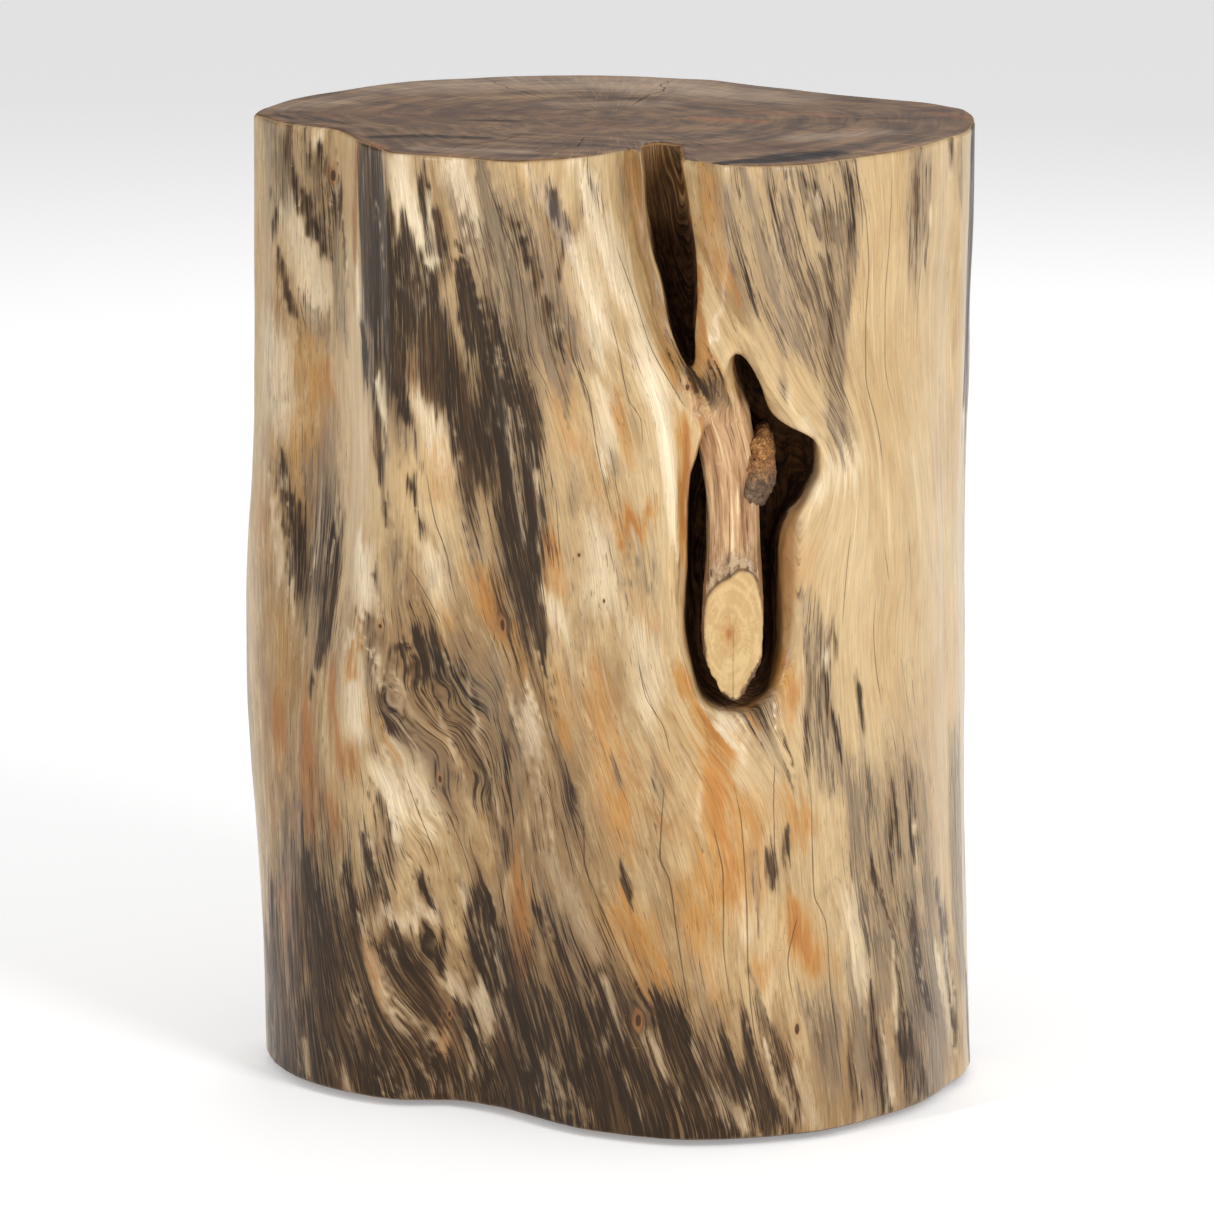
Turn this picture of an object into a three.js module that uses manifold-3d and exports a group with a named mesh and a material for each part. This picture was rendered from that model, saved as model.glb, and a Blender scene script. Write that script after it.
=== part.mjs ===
// A stool made from one length of a tree trunk: both ends are sawn flat, the bark is off, and the wood is sanded and
// clear finished. A natural cleft runs down the front from the top face, and below it an oval hollow still holds an
// old side branch whose lower end is sawn off at a slant. Four nailed glides carry it on the floor.
// Millimetres, +Z up, the front faces -Y, and the floor is z = 0.

import * as THREE from 'three';
import { mergeVertices } from 'three/addons/utils/BufferGeometryUtils.js';
import Module from 'manifold-3d';

// ---------------------------------------------------------------- driving dimensions
const HEIGHT = 457.2;            // floor to seat face
const LOG_BOTTOM = 3.5;          // the sawn underside stands this far above the floor, on the glides
const GAP = 0.3;                 // clearance between pieces that touch
const EDGE_R = 2.4;              // worn rounding of the sawn edges
const SIDES = 96;                // facets round the trunk, closer together at the front
const RING_STEP = 17;            // height of one ring of facets

const STUB_R = 14.0;             // old side branch
const SAW_LEAN = 3.0;            // degrees the sawn branch end leans back from upright
const SAW_POINT = [56.6, -153.4, 240];

const GLIDE_R = 11, GLIDE_H = LOG_BOTTOM - GAP;
const NAIL_HEAD_R = 3.2, NAIL_R = 1.25, NAIL_TOP = 21;
const GLIDES = [[-115, -35], [55, -130], [120, 55], [-60, 120]];

// Outline of the trunk at the seat face, with the cleft bridged over.
const TOP_OUTLINE = [[-167.7, 21], [-163.9, 15.5], [-155.8, -3], [-142.3, -17.5], [-131.4, -25.5], [-126, -32], [-122.5, -47], [-114.8, -72.3], [-107.2, -90], [-101.5, -105], [-88, -112.9], [-75.5, -118], [-63.7, -124.5], [-51.9, -131.5], [-42.5, -134.4], [-30, -136.5], [-10, -139.5], [15, -142.5], [40, -146], [54, -148], [65.3, -148.8], [77, -147.4], [89.4, -142.8], [104.3, -129], [119.3, -114.3], [131.4, -101.8], [143.7, -83.2], [156.4, -56.5], [166, -36.8], [169.3, -21.6], [171.8, 6], [171.4, 22], [168.7, 37], [161.8, 47.3], [154.6, 57.7], [139.6, 68.1], [124.6, 78.5], [109.5, 89], [94.4, 102.1], [79.2, 114.7], [64, 127.9], [48.7, 141.2], [33.2, 146.5], [17.7, 152.9], [2.1, 156.5], [-29, 156.5], [-52.3, 152.9], [-67.8, 146.7], [-83.3, 142.2], [-98.6, 135], [-113.8, 121.5], [-128.8, 103.5], [-143.7, 86], [-151, 74.5], [-158.1, 57.7], [-165, 37]];

// Outline at the underside.
const BASE_OUTLINE = [[-164.4, 16.6], [-162.4, 0], [-158.4, -18.6], [-150.2, -39], [-142.2, -51.2], [-134.3, -61.3], [-126.6, -69.3], [-118.8, -75.4], [-111.2, -81.4], [-103.5, -85.4], [-88.4, -87.4], [-73.3, -87.6], [-65.8, -91.4], [-58.2, -97.3], [-50.6, -103.6], [-43, -112.6], [-35.4, -121], [-27.9, -130.2], [-20.4, -137.5], [-12.9, -144.8], [-5.5, -149.4], [2, -153.3], [9.4, -157.4], [16.8, -160.5], [24.2, -163.6], [39, -165.9], [54, -164.6], [68.7, -161.2], [83.6, -156.2], [98.6, -148.6], [113.9, -135], [129.3, -117.2], [144.9, -95.3], [161.2, -57.3], [169.6, -34.9], [173, 6.2], [170.5, 30], [164, 54], [151, 77], [133, 96], [112, 113], [88, 131], [60, 147], [30, 158], [-2, 164.5], [-35, 163.5], [-68, 153.5], [-98, 136], [-124, 112], [-145, 84], [-158, 52]];

// How far the left and right flanks stand out from the straight blend of the two outlines, by height.
const LEFT_FLANK = [[3.5, 0.5], [30, 1], [60, 2.1], [92, 3.9], [121, 5.4], [150, 7.4], [180, 8.4], [223, 8.2], [252, 7], [281, 4.6], [310, 3.3], [340, 2.8], [380, 1.9], [457.2, 1.2]];
const RIGHT_FLANK = [[3.5, -0.3], [20, -0.9], [64, -2.2], [107, -3.5], [150, -4.2], [195, -3.9], [239, -4], [296, -3.6], [325, -3], [368, -2], [420, 0], [457.2, 0.3]];

// The front lobe rolls into the cleft. Each row: z, x of the cleft's left and right edge, depth at the left edge,
// width of the roll on the left, depth at the right edge, width on the right.
const CLEFT_ROLL = [
  [240, 34, 36, 0, 8, 0, 6],
  [262, 34, 36, 2, 8, 0, 6],
  [285, 35, 38, 4, 10, 0, 6],
  [310, 36, 40, 6, 14, 1, 8],
  [330, 38.6, 46, 7, 18, 3, 10],
  [345, 40, 48, 9, 21, 5, 12],
  [361, 36, 42, 13, 25, 8, 15],
  [372, 29.8, 39.5, 18, 28, 10, 19],
  [384, 25.7, 39, 23, 33, 12, 21],
  [398, 23.4, 40.8, 27, 37, 13, 23],
  [411, 19.3, 40.3, 32, 41, 15, 25],
  [427, 16.1, 38, 38, 47, 19, 28],
  [457.2, 13, 34, 48, 60, 24, 32],
];

// Soft ridges (+) and furrows (-) down the front. Each: [half width, rows of [z, x, height]].
const RELIEF = [
  [9, [[180, -131.6, 0], [214, -129, -1.5], [258, -125.5, -2.6], [311, -120.4, -3], [381, -121.2, -2.4], [427, -121.6, -1.5], [457, -122.5, -0.6]]],
  [11, [[150, -122, 0], [173, -121.5, 1.2], [212, -117, 2.6], [260, -112.5, 3.2], [317, -111.5, 2.6], [383, -111, 1.6], [439, -112, 0.5], [457, -112, 0]]],
  [17, [[225, 30, 0], [262, 24, 2.2], [298, 17, 3.2], [321, 14, 3.6], [348, 8, 3.6], [367, 0, 3.2], [394, -10, 2.6], [426, -19, 1.5], [457, -30, 0]]],
];

// Mouth of the cleft, seen from the front (x, z).
const CLEFT = [[12.9, 480], [12.9, 457], [15.2, 444], [16.1, 427], [19.3, 410], [23.4, 399], [25.7, 384], [29.8, 372], [34.6, 363], [38.1, 360.8], [39.9, 367], [39.2, 380], [40.8, 397], [40.3, 412], [38, 427], [35.5, 444.5], [33.2, 457], [33.2, 480]];
const CLEFT_FLOOR_TOP = -72, CLEFT_FLOOR_SLOPE = 0.36;   // the back wall comes forward as the cleft goes down

// Mouth of the hollow, seen from the front (x, z).
const HOLLOW = [[56.4, 370.7], [61, 368.5], [65.1, 362.4], [69.2, 354.1], [71.6, 345.2], [74.8, 340], [81.3, 334.6], [89.6, 330.8], [97.1, 325.2], [101.3, 318.5], [101.8, 311], [97.6, 304.7], [93.4, 298.3], [88.4, 291.9], [86.5, 281], [86.2, 260], [85.6, 240], [82.5, 226], [77.5, 214.5], [70, 207.4], [62.2, 204.3], [56.2, 203.9], [48.9, 205], [43.3, 208.6], [39.2, 215.6], [37.4, 225.3], [35.3, 235], [34.1, 244], [34.1, 254.4], [35, 268.3], [35, 300.3], [35.9, 310.9], [38.6, 320.2], [41.2, 331], [45.8, 344], [50.8, 357]];
const HOLLOW_FLOOR = -106, HOLLOW_CENTRE = [60, 262];

// The side branch: z, centre x, centre y, radius.
const BRANCH = [[378, 46.5, -122, 13.5], [364, 48, -126.5, 15], [350, 49.4, -129.5, 15.2], [326, 53, -130.8, 14.4], [300, 55.5, -132.6, 14], [282, 56.3, -136.4, 14], [262, 56.6, -144.2, 14.2], [240, 56.6, -154.6, 14.2], [216, 56.7, -166, 14.2], [196, 56.7, -176, 14.2]];

// ---------------------------------------------------------------- curves
function slopes(x, y) {
  const n = x.length, h = [], d = [], m = new Array(n).fill(0);
  for (let i = 0; i < n - 1; i++) { h.push(x[i + 1] - x[i]); d.push((y[i + 1] - y[i]) / h[i]); }
  for (let i = 1; i < n - 1; i++) {
    if (d[i - 1] * d[i] > 0) {
      const w1 = 2 * h[i] + h[i - 1], w2 = h[i] + 2 * h[i - 1];
      m[i] = (w1 + w2) / (w1 / d[i - 1] + w2 / d[i]);
    }
  }
  m[0] = d[0]; m[n - 1] = d[n - 2];
  return m;
}
function curve(x, y) {           // smooth curve through points, with no overshoot
  const m = slopes(x, y);
  return (q) => {
    if (q <= x[0]) return y[0];
    if (q >= x[x.length - 1]) return y[y.length - 1];
    let i = 0;
    while (q > x[i + 1]) i++;
    const h = x[i + 1] - x[i], t = (q - x[i]) / h, t2 = t * t, t3 = t2 * t;
    return (2 * t3 - 3 * t2 + 1) * y[i] + (t3 - 2 * t2 + t) * h * m[i] + (3 * t2 - 2 * t3) * y[i + 1] + (t3 - t2) * h * m[i + 1];
  };
}
const column = (rows, k, key = 0) => curve(rows.map((r) => r[key]), rows.map((r) => r[k]));

function outlineRadius(points) { // radius of a closed outline by direction, as a smooth periodic curve
  const p = points.map(([x, y]) => [Math.atan2(y, x), Math.hypot(x, y)]).sort((a, b) => a[0] - b[0]);
  const wrap = [...p.slice(-3).map(([a, r]) => [a - 2 * Math.PI, r]), ...p, ...p.slice(0, 3).map(([a, r]) => [a + 2 * Math.PI, r])];
  return curve(wrap.map((v) => v[0]), wrap.map((v) => v[1]));
}

// ---------------------------------------------------------------- the trunk's outside
const topRadius = outlineRadius(TOP_OUTLINE), baseRadius = outlineRadius(BASE_OUTLINE);
const leftFlank = column(LEFT_FLANK, 1), rightFlank = column(RIGHT_FLANK, 1);
const roll = [1, 2, 3, 4, 5, 6].map((k) => column(CLEFT_ROLL, k));
const relief = RELIEF.map(([w, rows]) => ({ w, z0: rows[0][0], z1: rows.at(-1)[0], x: column(rows, 1), h: column(rows, 2) }));
const turn = (a, b) => { let d = (a - b) % (2 * Math.PI); if (d > Math.PI) d -= 2 * Math.PI; if (d < -Math.PI) d += 2 * Math.PI; return d; };

function trunkRadius(theta, z) {
  const t = (z - LOG_BOTTOM) / (HEIGHT - LOG_BOTTOM);
  const w = 0.35 * t * t * (3 - 2 * t) + 0.65 * t;
  let r = w * topRadius(theta) + (1 - w) * baseRadius(theta);
  r += leftFlank(z) * Math.exp(-((turn(theta, 3.0718) / 0.4189) ** 2));
  r += rightFlank(z) * Math.exp(-((turn(theta, 0) / 0.4189) ** 2));
  if (Math.sin(theta) < 0) {
    const x = r * Math.cos(theta);
    if (z > CLEFT_ROLL[0][0]) {
      const [xl, xr, dl, wl, dr, wr] = roll.map((f) => f(z));
      const left = x < xl ? (x > xl - wl ? dl * (1 - (xl - x) / wl) ** 1.3 : 0) : dl;
      const right = x > xr ? (x < xr + wr ? dr * (1 - (x - xr) / wr) ** 2.5 : 0) : dr;
      const k = THREE.MathUtils.clamp((x - xl) / (xr - xl), 0, 1);
      r -= (1 - k) * left + k * right;
    }
    for (const f of relief) {
      if (z > f.z0 && z < f.z1 + 1) r += f.h(z) * Math.exp(-(((x - f.x(z)) / f.w) ** 2));
    }
  }
  return r;
}

const wasm = await Module();
wasm.setup();

function solid(geometry, flip = false) {
  const g = geometry.clone();
  g.deleteAttribute('normal');
  g.deleteAttribute('uv');
  const m = mergeVertices(g, 1e-4);
  const tri = Uint32Array.from(m.index.array);
  if (flip) for (let i = 0; i < tri.length; i += 3) [tri[i], tri[i + 1]] = [tri[i + 1], tri[i]];
  const keep = [];
  for (let i = 0; i < tri.length; i += 3) if (tri[i] !== tri[i + 1] && tri[i + 1] !== tri[i + 2] && tri[i] !== tri[i + 2]) keep.push(tri[i], tri[i + 1], tri[i + 2]);
  return new wasm.Manifold(new wasm.Mesh({ numProp: 3, vertProperties: Float32Array.from(m.attributes.position.array), triVerts: Uint32Array.from(keep) }));
}
function geometryOf(body) {
  const m = body.getMesh();
  const g = new THREE.BufferGeometry();
  g.setAttribute('position', new THREE.BufferAttribute(Float32Array.from(m.vertProperties), 3));
  g.setIndex(new THREE.BufferAttribute(Uint32Array.from(m.triVerts), 1));
  g.computeVertexNormals();
  return g;
}
function largest(body) {         // keeps the main body if a cut leaves a crumb
  const parts = body.decompose();
  return parts.reduce((a, b) => (b.volume() > a.volume() ? b : a));
}

// A stack of rings along Z. ring(i, theta) gives [x, y, z] for a point on ring i, or for its middle when theta is null.
function stack(sides, rings, ring, warp = (a) => a) {
  const g = new THREE.CylinderGeometry(1, 1, 1, sides, rings - 1);
  const p = g.attributes.position;
  for (let i = 0; i < p.count; i++) {
    const level = Math.round((p.getY(i) + 0.5) * (rings - 1));
    const x = p.getX(i), y = -p.getZ(i);
    const at = Math.hypot(x, y) < 0.5 ? ring(level, null) : ring(level, warp(Math.atan2(y, x)));
    p.setXYZ(i, at[0], at[1], at[2]);
  }
  return g;
}

const levels = [];
for (let z = LOG_BOTTOM + EDGE_R; z < HEIGHT - EDGE_R - RING_STEP * 0.5; z += RING_STEP) levels.push(z);
const trunkRings = [[LOG_BOTTOM, -EDGE_R * 0.9], [LOG_BOTTOM + EDGE_R * 0.35, -EDGE_R * 0.25], ...levels.map((z) => [z, 0]), [HEIGHT - EDGE_R, 0], [HEIGHT - EDGE_R * 0.3, -EDGE_R * 0.3], [HEIGHT, -EDGE_R]];
const trunk = solid(stack(SIDES, trunkRings.length, (i, a) => {
  const [z, inset] = trunkRings[i];
  if (a === null) return [0, 0, z];
  const r = trunkRadius(a, z) + inset;
  return [r * Math.cos(a), r * Math.sin(a), z];
}, (a) => a - 0.4 * Math.sin(a + Math.PI / 2)));

// A pit cut in from the front: its mouth is an outline in x and z, and place(x, z, t) puts a point at depth t = 0..1.
function pit(outline, steps, place) {
  const shape = new THREE.Shape(outline.map(([x, z]) => new THREE.Vector2(x, z)));
  const g = new THREE.ExtrudeGeometry(shape, { depth: 1, steps, bevelEnabled: false, curveSegments: 1 });
  const p = g.attributes.position;
  for (let i = 0; i < p.count; i++) p.setXYZ(i, ...place(p.getX(i), p.getY(i), p.getZ(i)));
  return solid(g, true);
}
const cleft = pit(CLEFT, 4, (x, z, t) => {
  const back = CLEFT_FLOOR_TOP - CLEFT_FLOOR_SLOPE * Math.max(0, HEIGHT - z);
  const y = t === 0 ? -210 : THREE.MathUtils.lerp(-150, back, (t - 0.25) / 0.75);
  const mid = THREE.MathUtils.lerp(37, 23, THREE.MathUtils.clamp((z - 362) / 95, 0, 1));
  const s = t <= 0.25 ? 1 : 1 - 0.22 * ((t - 0.25) / 0.75) ** 2;
  return [mid + (x - mid) * s, y, z];
});
const hollow = pit(HOLLOW, 5, (x, z, t) => {
  const y = [-210, -158, -140, -126, -114, HOLLOW_FLOOR][Math.round(t * 5)];
  const s = [1, 1, 0.97, 0.93, 0.84, 0.64][Math.round(t * 5)];
  const [cx, cz] = HOLLOW_CENTRE;
  return [cx + (x - cx) * s, y, cz + (z - cz) * s];
});

// ---------------------------------------------------------------- the side branch
const bz = BRANCH.map((r) => r[0]).reverse();
const branchAt = [1, 2, 3].map((k) => curve(bz, BRANCH.map((r) => r[k]).reverse()));
function branchSolid(grow) {
  const zs = [];
  for (let z = bz[0]; z <= bz.at(-1) + 1e-6; z += (bz.at(-1) - bz[0]) / 18) zs.push(z);
  zs[0] -= grow; zs[zs.length - 1] += grow;
  return solid(stack(20, zs.length, (i, a) => {
    const z = zs[i], cx = branchAt[0](z), cy = branchAt[1](z);
    const r = (branchAt[2](z) + grow) * (i === zs.length - 1 ? 0.8 : 1);
    if (a === null) return [cx, cy, z];
    const wave = 1 + 0.018 * Math.sin(3 * a + z * 0.05) + 0.012 * Math.sin(5 * a - z * 0.03);
    return [cx + r * wave * Math.cos(a), cy + r * wave * 1.04 * Math.sin(a), z];
  }));
}
const saw = new THREE.BoxGeometry(120, 80, 260);
saw.translate(0, -40, 0);
saw.rotateX(-THREE.MathUtils.degToRad(SAW_LEAN));
saw.translate(...SAW_POINT);
const branchStub = largest(branchSolid(0).subtract(solid(saw)));
const branchRoom = branchSolid(GAP);

// ---------------------------------------------------------------- the lump of ingrown bark
function lumpSolid(grow) {
  const g = new THREE.IcosahedronGeometry(1, 3);
  g.deleteAttribute('normal'); g.deleteAttribute('uv');
  const m = mergeVertices(g, 1e-4), p = m.attributes.position;
  for (let i = 0; i < p.count; i++) {
    const x = p.getX(i), y = p.getY(i), z = p.getZ(i);
    const k = 1 + 0.1 * Math.sin(5 * z + 2 * x) + 0.07 * Math.sin(7 * x - 4 * y + 3 * z);
    p.setXYZ(i, 71.2 + x * k * (5 + grow), -124.5 + y * k * (19.5 + grow), 313.5 + z * k * (17 + grow));
  }
  return solid(m);
}
const bark = largest(lumpSolid(0).subtract(branchRoom));
const barkRoom = lumpSolid(GAP);

// ---------------------------------------------------------------- glides and their nails
const turned = (profile, sides) => {
  const g = new THREE.LatheGeometry(profile.map(([r, h]) => new THREE.Vector2(r, h)), sides);
  g.rotateX(Math.PI / 2);
  return g;
};
const glideProfile = [[NAIL_R + GAP, 2.1], [NAIL_HEAD_R + GAP, 2.1], [NAIL_HEAD_R + GAP, 0], [GLIDE_R - 1.6, 0], [GLIDE_R - 0.5, 0.45], [GLIDE_R, 1.5], [GLIDE_R, GLIDE_H], [NAIL_R + GAP, GLIDE_H], [NAIL_R + GAP, 2.1]];
const nailProfile = [[0, 0.8], [NAIL_HEAD_R - 0.3, 0.8], [NAIL_HEAD_R, 1.1], [NAIL_HEAD_R, 1.8], [NAIL_R, 1.8], [NAIL_R, NAIL_TOP - 3], [0, NAIL_TOP]];
const closedOut = (g) => {       // same solid with its faces pointing out
  let s = solid(g);
  if (s.volume() < 0 || s.isEmpty()) s = solid(g, true);
  return s;
};
const glide = closedOut(turned(glideProfile, 18));
const nail = closedOut(turned(nailProfile, 8));

let log = trunk.subtract(cleft).subtract(hollow).subtract(branchRoom).subtract(barkRoom);
for (const [x, y] of GLIDES) {
  const hole = new THREE.CylinderGeometry(NAIL_R + GAP, NAIL_R + GAP, NAIL_TOP + 1, 8);
  hole.rotateX(Math.PI / 2);
  hole.translate(x, y, (NAIL_TOP + 1) / 2);
  log = log.subtract(solid(hole));
}
log = largest(log);

// ---------------------------------------------------------------- materials and the scene graph
const spaltedWood = new THREE.MeshStandardMaterial({ name: 'spalted_wood', color: 0xd8bb88, roughness: 0.42, metalness: 0 });
const branchWood = new THREE.MeshStandardMaterial({ name: 'branch_wood', color: 0xb08a66, roughness: 0.5, metalness: 0 });
const ingrownBark = new THREE.MeshStandardMaterial({ name: 'ingrown_bark', color: 0x6b4a2c, roughness: 0.9, metalness: 0 });
const nylon = new THREE.MeshStandardMaterial({ name: 'nylon', color: 0xd9d4c6, roughness: 0.55, metalness: 0 });
const steel = new THREE.MeshStandardMaterial({ name: 'zinc_steel', color: 0xb9bcc0, roughness: 0.35, metalness: 1 });

function piece(name, body, material) {
  const mesh = new THREE.Mesh(geometryOf(body), material);
  mesh.name = name;
  return mesh;
}

const stool = new THREE.Group();
stool.name = 'log_stool';
stool.add(piece('log_body', log, spaltedWood));
stool.add(piece('branch_stub', branchStub, branchWood));
stool.add(piece('bark_remnant', bark, ingrownBark));

GLIDES.forEach(([x, y], i) => {
  const foot = new THREE.Group();
  foot.position.set(x, y, 0);
  foot.add(piece(`glide_${i + 1}`, glide, nylon), piece(`glide_nail_${i + 1}`, nail, steel));
  stool.add(foot);
});

export default stool;
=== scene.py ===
import math

import bpy
import numpy as np
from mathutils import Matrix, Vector


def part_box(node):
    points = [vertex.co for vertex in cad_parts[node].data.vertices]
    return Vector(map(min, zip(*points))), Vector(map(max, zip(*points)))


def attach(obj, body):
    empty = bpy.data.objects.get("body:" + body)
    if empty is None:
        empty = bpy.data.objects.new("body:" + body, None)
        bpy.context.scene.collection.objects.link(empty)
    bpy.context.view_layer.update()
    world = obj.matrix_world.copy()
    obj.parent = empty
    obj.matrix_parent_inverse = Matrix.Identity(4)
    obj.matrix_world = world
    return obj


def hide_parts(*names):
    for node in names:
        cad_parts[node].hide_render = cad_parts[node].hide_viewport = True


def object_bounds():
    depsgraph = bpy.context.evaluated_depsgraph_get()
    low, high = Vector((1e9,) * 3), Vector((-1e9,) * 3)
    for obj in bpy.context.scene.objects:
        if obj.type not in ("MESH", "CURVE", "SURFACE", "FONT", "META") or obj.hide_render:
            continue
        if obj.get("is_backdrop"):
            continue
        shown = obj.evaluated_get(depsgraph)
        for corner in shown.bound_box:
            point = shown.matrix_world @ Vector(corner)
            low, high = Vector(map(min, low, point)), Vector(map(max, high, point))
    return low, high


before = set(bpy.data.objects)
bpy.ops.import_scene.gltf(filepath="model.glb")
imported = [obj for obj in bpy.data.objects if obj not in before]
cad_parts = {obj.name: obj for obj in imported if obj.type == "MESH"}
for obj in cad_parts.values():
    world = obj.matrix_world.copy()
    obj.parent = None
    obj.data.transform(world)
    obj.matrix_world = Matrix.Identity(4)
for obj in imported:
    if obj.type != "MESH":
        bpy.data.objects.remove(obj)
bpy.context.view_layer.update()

# All shapes below are worked out in millimetres in the frame of the part and turned into metres when a mesh is made.
# +Z is up, the front faces -Y, and the floor is z = 0.
F = np.float32
H, Z0, EDGE = 457.2, 3.5, 2.4

# ------------------------------------------------------------------------------------------------ small tools


def pchip(x, y, q):
    """Smooth curve through points with no overshoot, flat outside them."""
    x, y = np.asarray(x, float), np.asarray(y, float)
    h, d = np.diff(x), np.diff(y) / np.diff(x)
    m = np.zeros_like(y)
    same = d[1:] * d[:-1] > 0
    w1, w2 = 2 * h[1:] + h[:-1], h[1:] + 2 * h[:-1]
    m[1:-1] = np.where(same, (w1 + w2) / (w1 / np.where(same, d[:-1], 1) + w2 / np.where(same, d[1:], 1)), 0)
    m[0], m[-1] = d[0], d[-1]
    q = np.clip(np.asarray(q, float), x[0], x[-1])
    i = np.clip(np.searchsorted(x, q) - 1, 0, len(h) - 1)
    t = (q - x[i]) / h[i]
    t2, t3 = t * t, t * t * t
    return (2 * t3 - 3 * t2 + 1) * y[i] + (t3 - 2 * t2 + t) * h[i] * m[i] + (3 * t2 - 2 * t3) * y[i + 1] + (t3 - t2) * h[i] * m[i + 1]


def hash01(i, j, k, seed):
    u = np.uint32
    with np.errstate(over="ignore"):
        n = i.astype(np.int32).view(u) * u(374761393) + j.astype(np.int32).view(u) * u(668265263) + k.astype(np.int32).view(u) * u(2246822519) + u((seed * 974634777) & 0xFFFFFFFF)
        n = (n ^ (n >> u(13))) * u(1274126177)
        n = n ^ (n >> u(16))
        n = (n ^ (n >> u(11))) * u(2654435769)
        n = n ^ (n >> u(15))
    return (n & u(0xFFFFFF)).astype(F) / F(0xFFFFFF)


def noise(x, y, z, seed=0):
    """Smooth noise from -1 to 1, one lump per unit."""
    x, y, z = np.broadcast_arrays(np.asarray(x, F), np.asarray(y, F), np.asarray(z, F))
    xi, yi, zi = np.floor(x), np.floor(y), np.floor(z)
    fx, fy, fz = x - xi, y - yi, z - zi
    fx, fy, fz = [f * f * f * (f * (f * 6 - 15) + 10) for f in (fx, fy, fz)]
    out = np.zeros(x.shape, F)
    for a in (0, 1):
        for b in (0, 1):
            for c in (0, 1):
                w = (fx if a else 1 - fx) * (fy if b else 1 - fy) * (fz if c else 1 - fz)
                out += w * hash01(xi + a, yi + b, zi + c, seed)
    return out * 2 - 1


def fbm(x, y, z, octaves=3, seed=0, gain=0.5):
    out, amp, tot = 0, 1.0, 0.0
    for o in range(octaves):
        f = 2.03 ** o
        out = out + amp * noise(np.asarray(x) * f + 17.3 * o, np.asarray(y) * f - 9.1 * o, np.asarray(z) * f + 4.7 * o, seed + o * 13)
        tot += amp
        amp *= gain
    return out / tot


def smooth(a, b, t):
    t = np.clip((t - a) / (b - a), 0, 1)
    return t * t * (3 - 2 * t)


def smax(a, b, k):
    h = np.maximum(k - np.abs(a - b), 0)
    return np.maximum(a, b) + h * h / (4 * k)


def smin(a, b, k):
    return -smax(-a, -b, k)


# ------------------------------------------------------------------------------------------------ the photograph's view
# Camera worked out from the outline of both sawn faces: straight in front, 10.8 degrees above level, 4.75 m away.
PX = 1214.0
ELEV, DIST, FOCAL = math.radians(10.8), 4750.0, 9979.8
LOOK = np.array([-1.3, 6.0, 222.5])
BACK = np.array([0, -math.cos(ELEV), math.sin(ELEV)])
UP = np.array([0, math.sin(ELEV), math.cos(ELEV)])
EYE = LOOK + DIST * BACK


def to_photo(p):
    d = np.asarray(p, float) - EYE
    w = -(d @ BACK)
    return PX / 2 + FOCAL * d[..., 0] / w, PX / 2 - FOCAL * (d @ UP) / w


# ------------------------------------------------------------------------------------------------ the trunk's outside
TOP_OUTLINE = [[-167.7, 21], [-163.9, 15.5], [-155.8, -3], [-142.3, -17.5], [-131.4, -25.5], [-126, -32], [-122.5, -47], [-114.8, -72.3], [-107.2, -90], [-101.5, -105], [-88, -112.9], [-75.5, -118], [-63.7, -124.5], [-51.9, -131.5], [-42.5, -134.4], [-30, -136.5], [-10, -139.5], [15, -142.5], [40, -146], [54, -148], [65.3, -148.8], [77, -147.4], [89.4, -142.8], [104.3, -129], [119.3, -114.3], [131.4, -101.8], [143.7, -83.2], [156.4, -56.5], [166, -36.8], [169.3, -21.6], [171.8, 6], [171.4, 22], [168.7, 37], [161.8, 47.3], [154.6, 57.7], [139.6, 68.1], [124.6, 78.5], [109.5, 89], [94.4, 102.1], [79.2, 114.7], [64, 127.9], [48.7, 141.2], [33.2, 146.5], [17.7, 152.9], [2.1, 156.5], [-29, 156.5], [-52.3, 152.9], [-67.8, 146.7], [-83.3, 142.2], [-98.6, 135], [-113.8, 121.5], [-128.8, 103.5], [-143.7, 86], [-151, 74.5], [-158.1, 57.7], [-165, 37]]
BASE_OUTLINE = [[-164.4, 16.6], [-162.4, 0], [-158.4, -18.6], [-150.2, -39], [-142.2, -51.2], [-134.3, -61.3], [-126.6, -69.3], [-118.8, -75.4], [-111.2, -81.4], [-103.5, -85.4], [-88.4, -87.4], [-73.3, -87.6], [-65.8, -91.4], [-58.2, -97.3], [-50.6, -103.6], [-43, -112.6], [-35.4, -121], [-27.9, -130.2], [-20.4, -137.5], [-12.9, -144.8], [-5.5, -149.4], [2, -153.3], [9.4, -157.4], [16.8, -160.5], [24.2, -163.6], [39, -165.9], [54, -164.6], [68.7, -161.2], [83.6, -156.2], [98.6, -148.6], [113.9, -135], [129.3, -117.2], [144.9, -95.3], [161.2, -57.3], [169.6, -34.9], [173, 6.2], [170.5, 30], [164, 54], [151, 77], [133, 96], [112, 113], [88, 131], [60, 147], [30, 158], [-2, 164.5], [-35, 163.5], [-68, 153.5], [-98, 136], [-124, 112], [-145, 84], [-158, 52]]
LEFT_FLANK = [[3.5, 0.5], [30, 1], [60, 2.1], [92, 3.9], [121, 5.4], [150, 7.4], [180, 8.4], [223, 8.2], [252, 7], [281, 4.6], [310, 3.3], [340, 2.8], [380, 1.9], [457.2, 1.2]]
RIGHT_FLANK = [[3.5, -0.3], [20, -0.9], [64, -2.2], [107, -3.5], [150, -4.2], [195, -3.9], [239, -4], [296, -3.6], [325, -3], [368, -2], [420, 0], [457.2, 0.3]]
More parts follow.
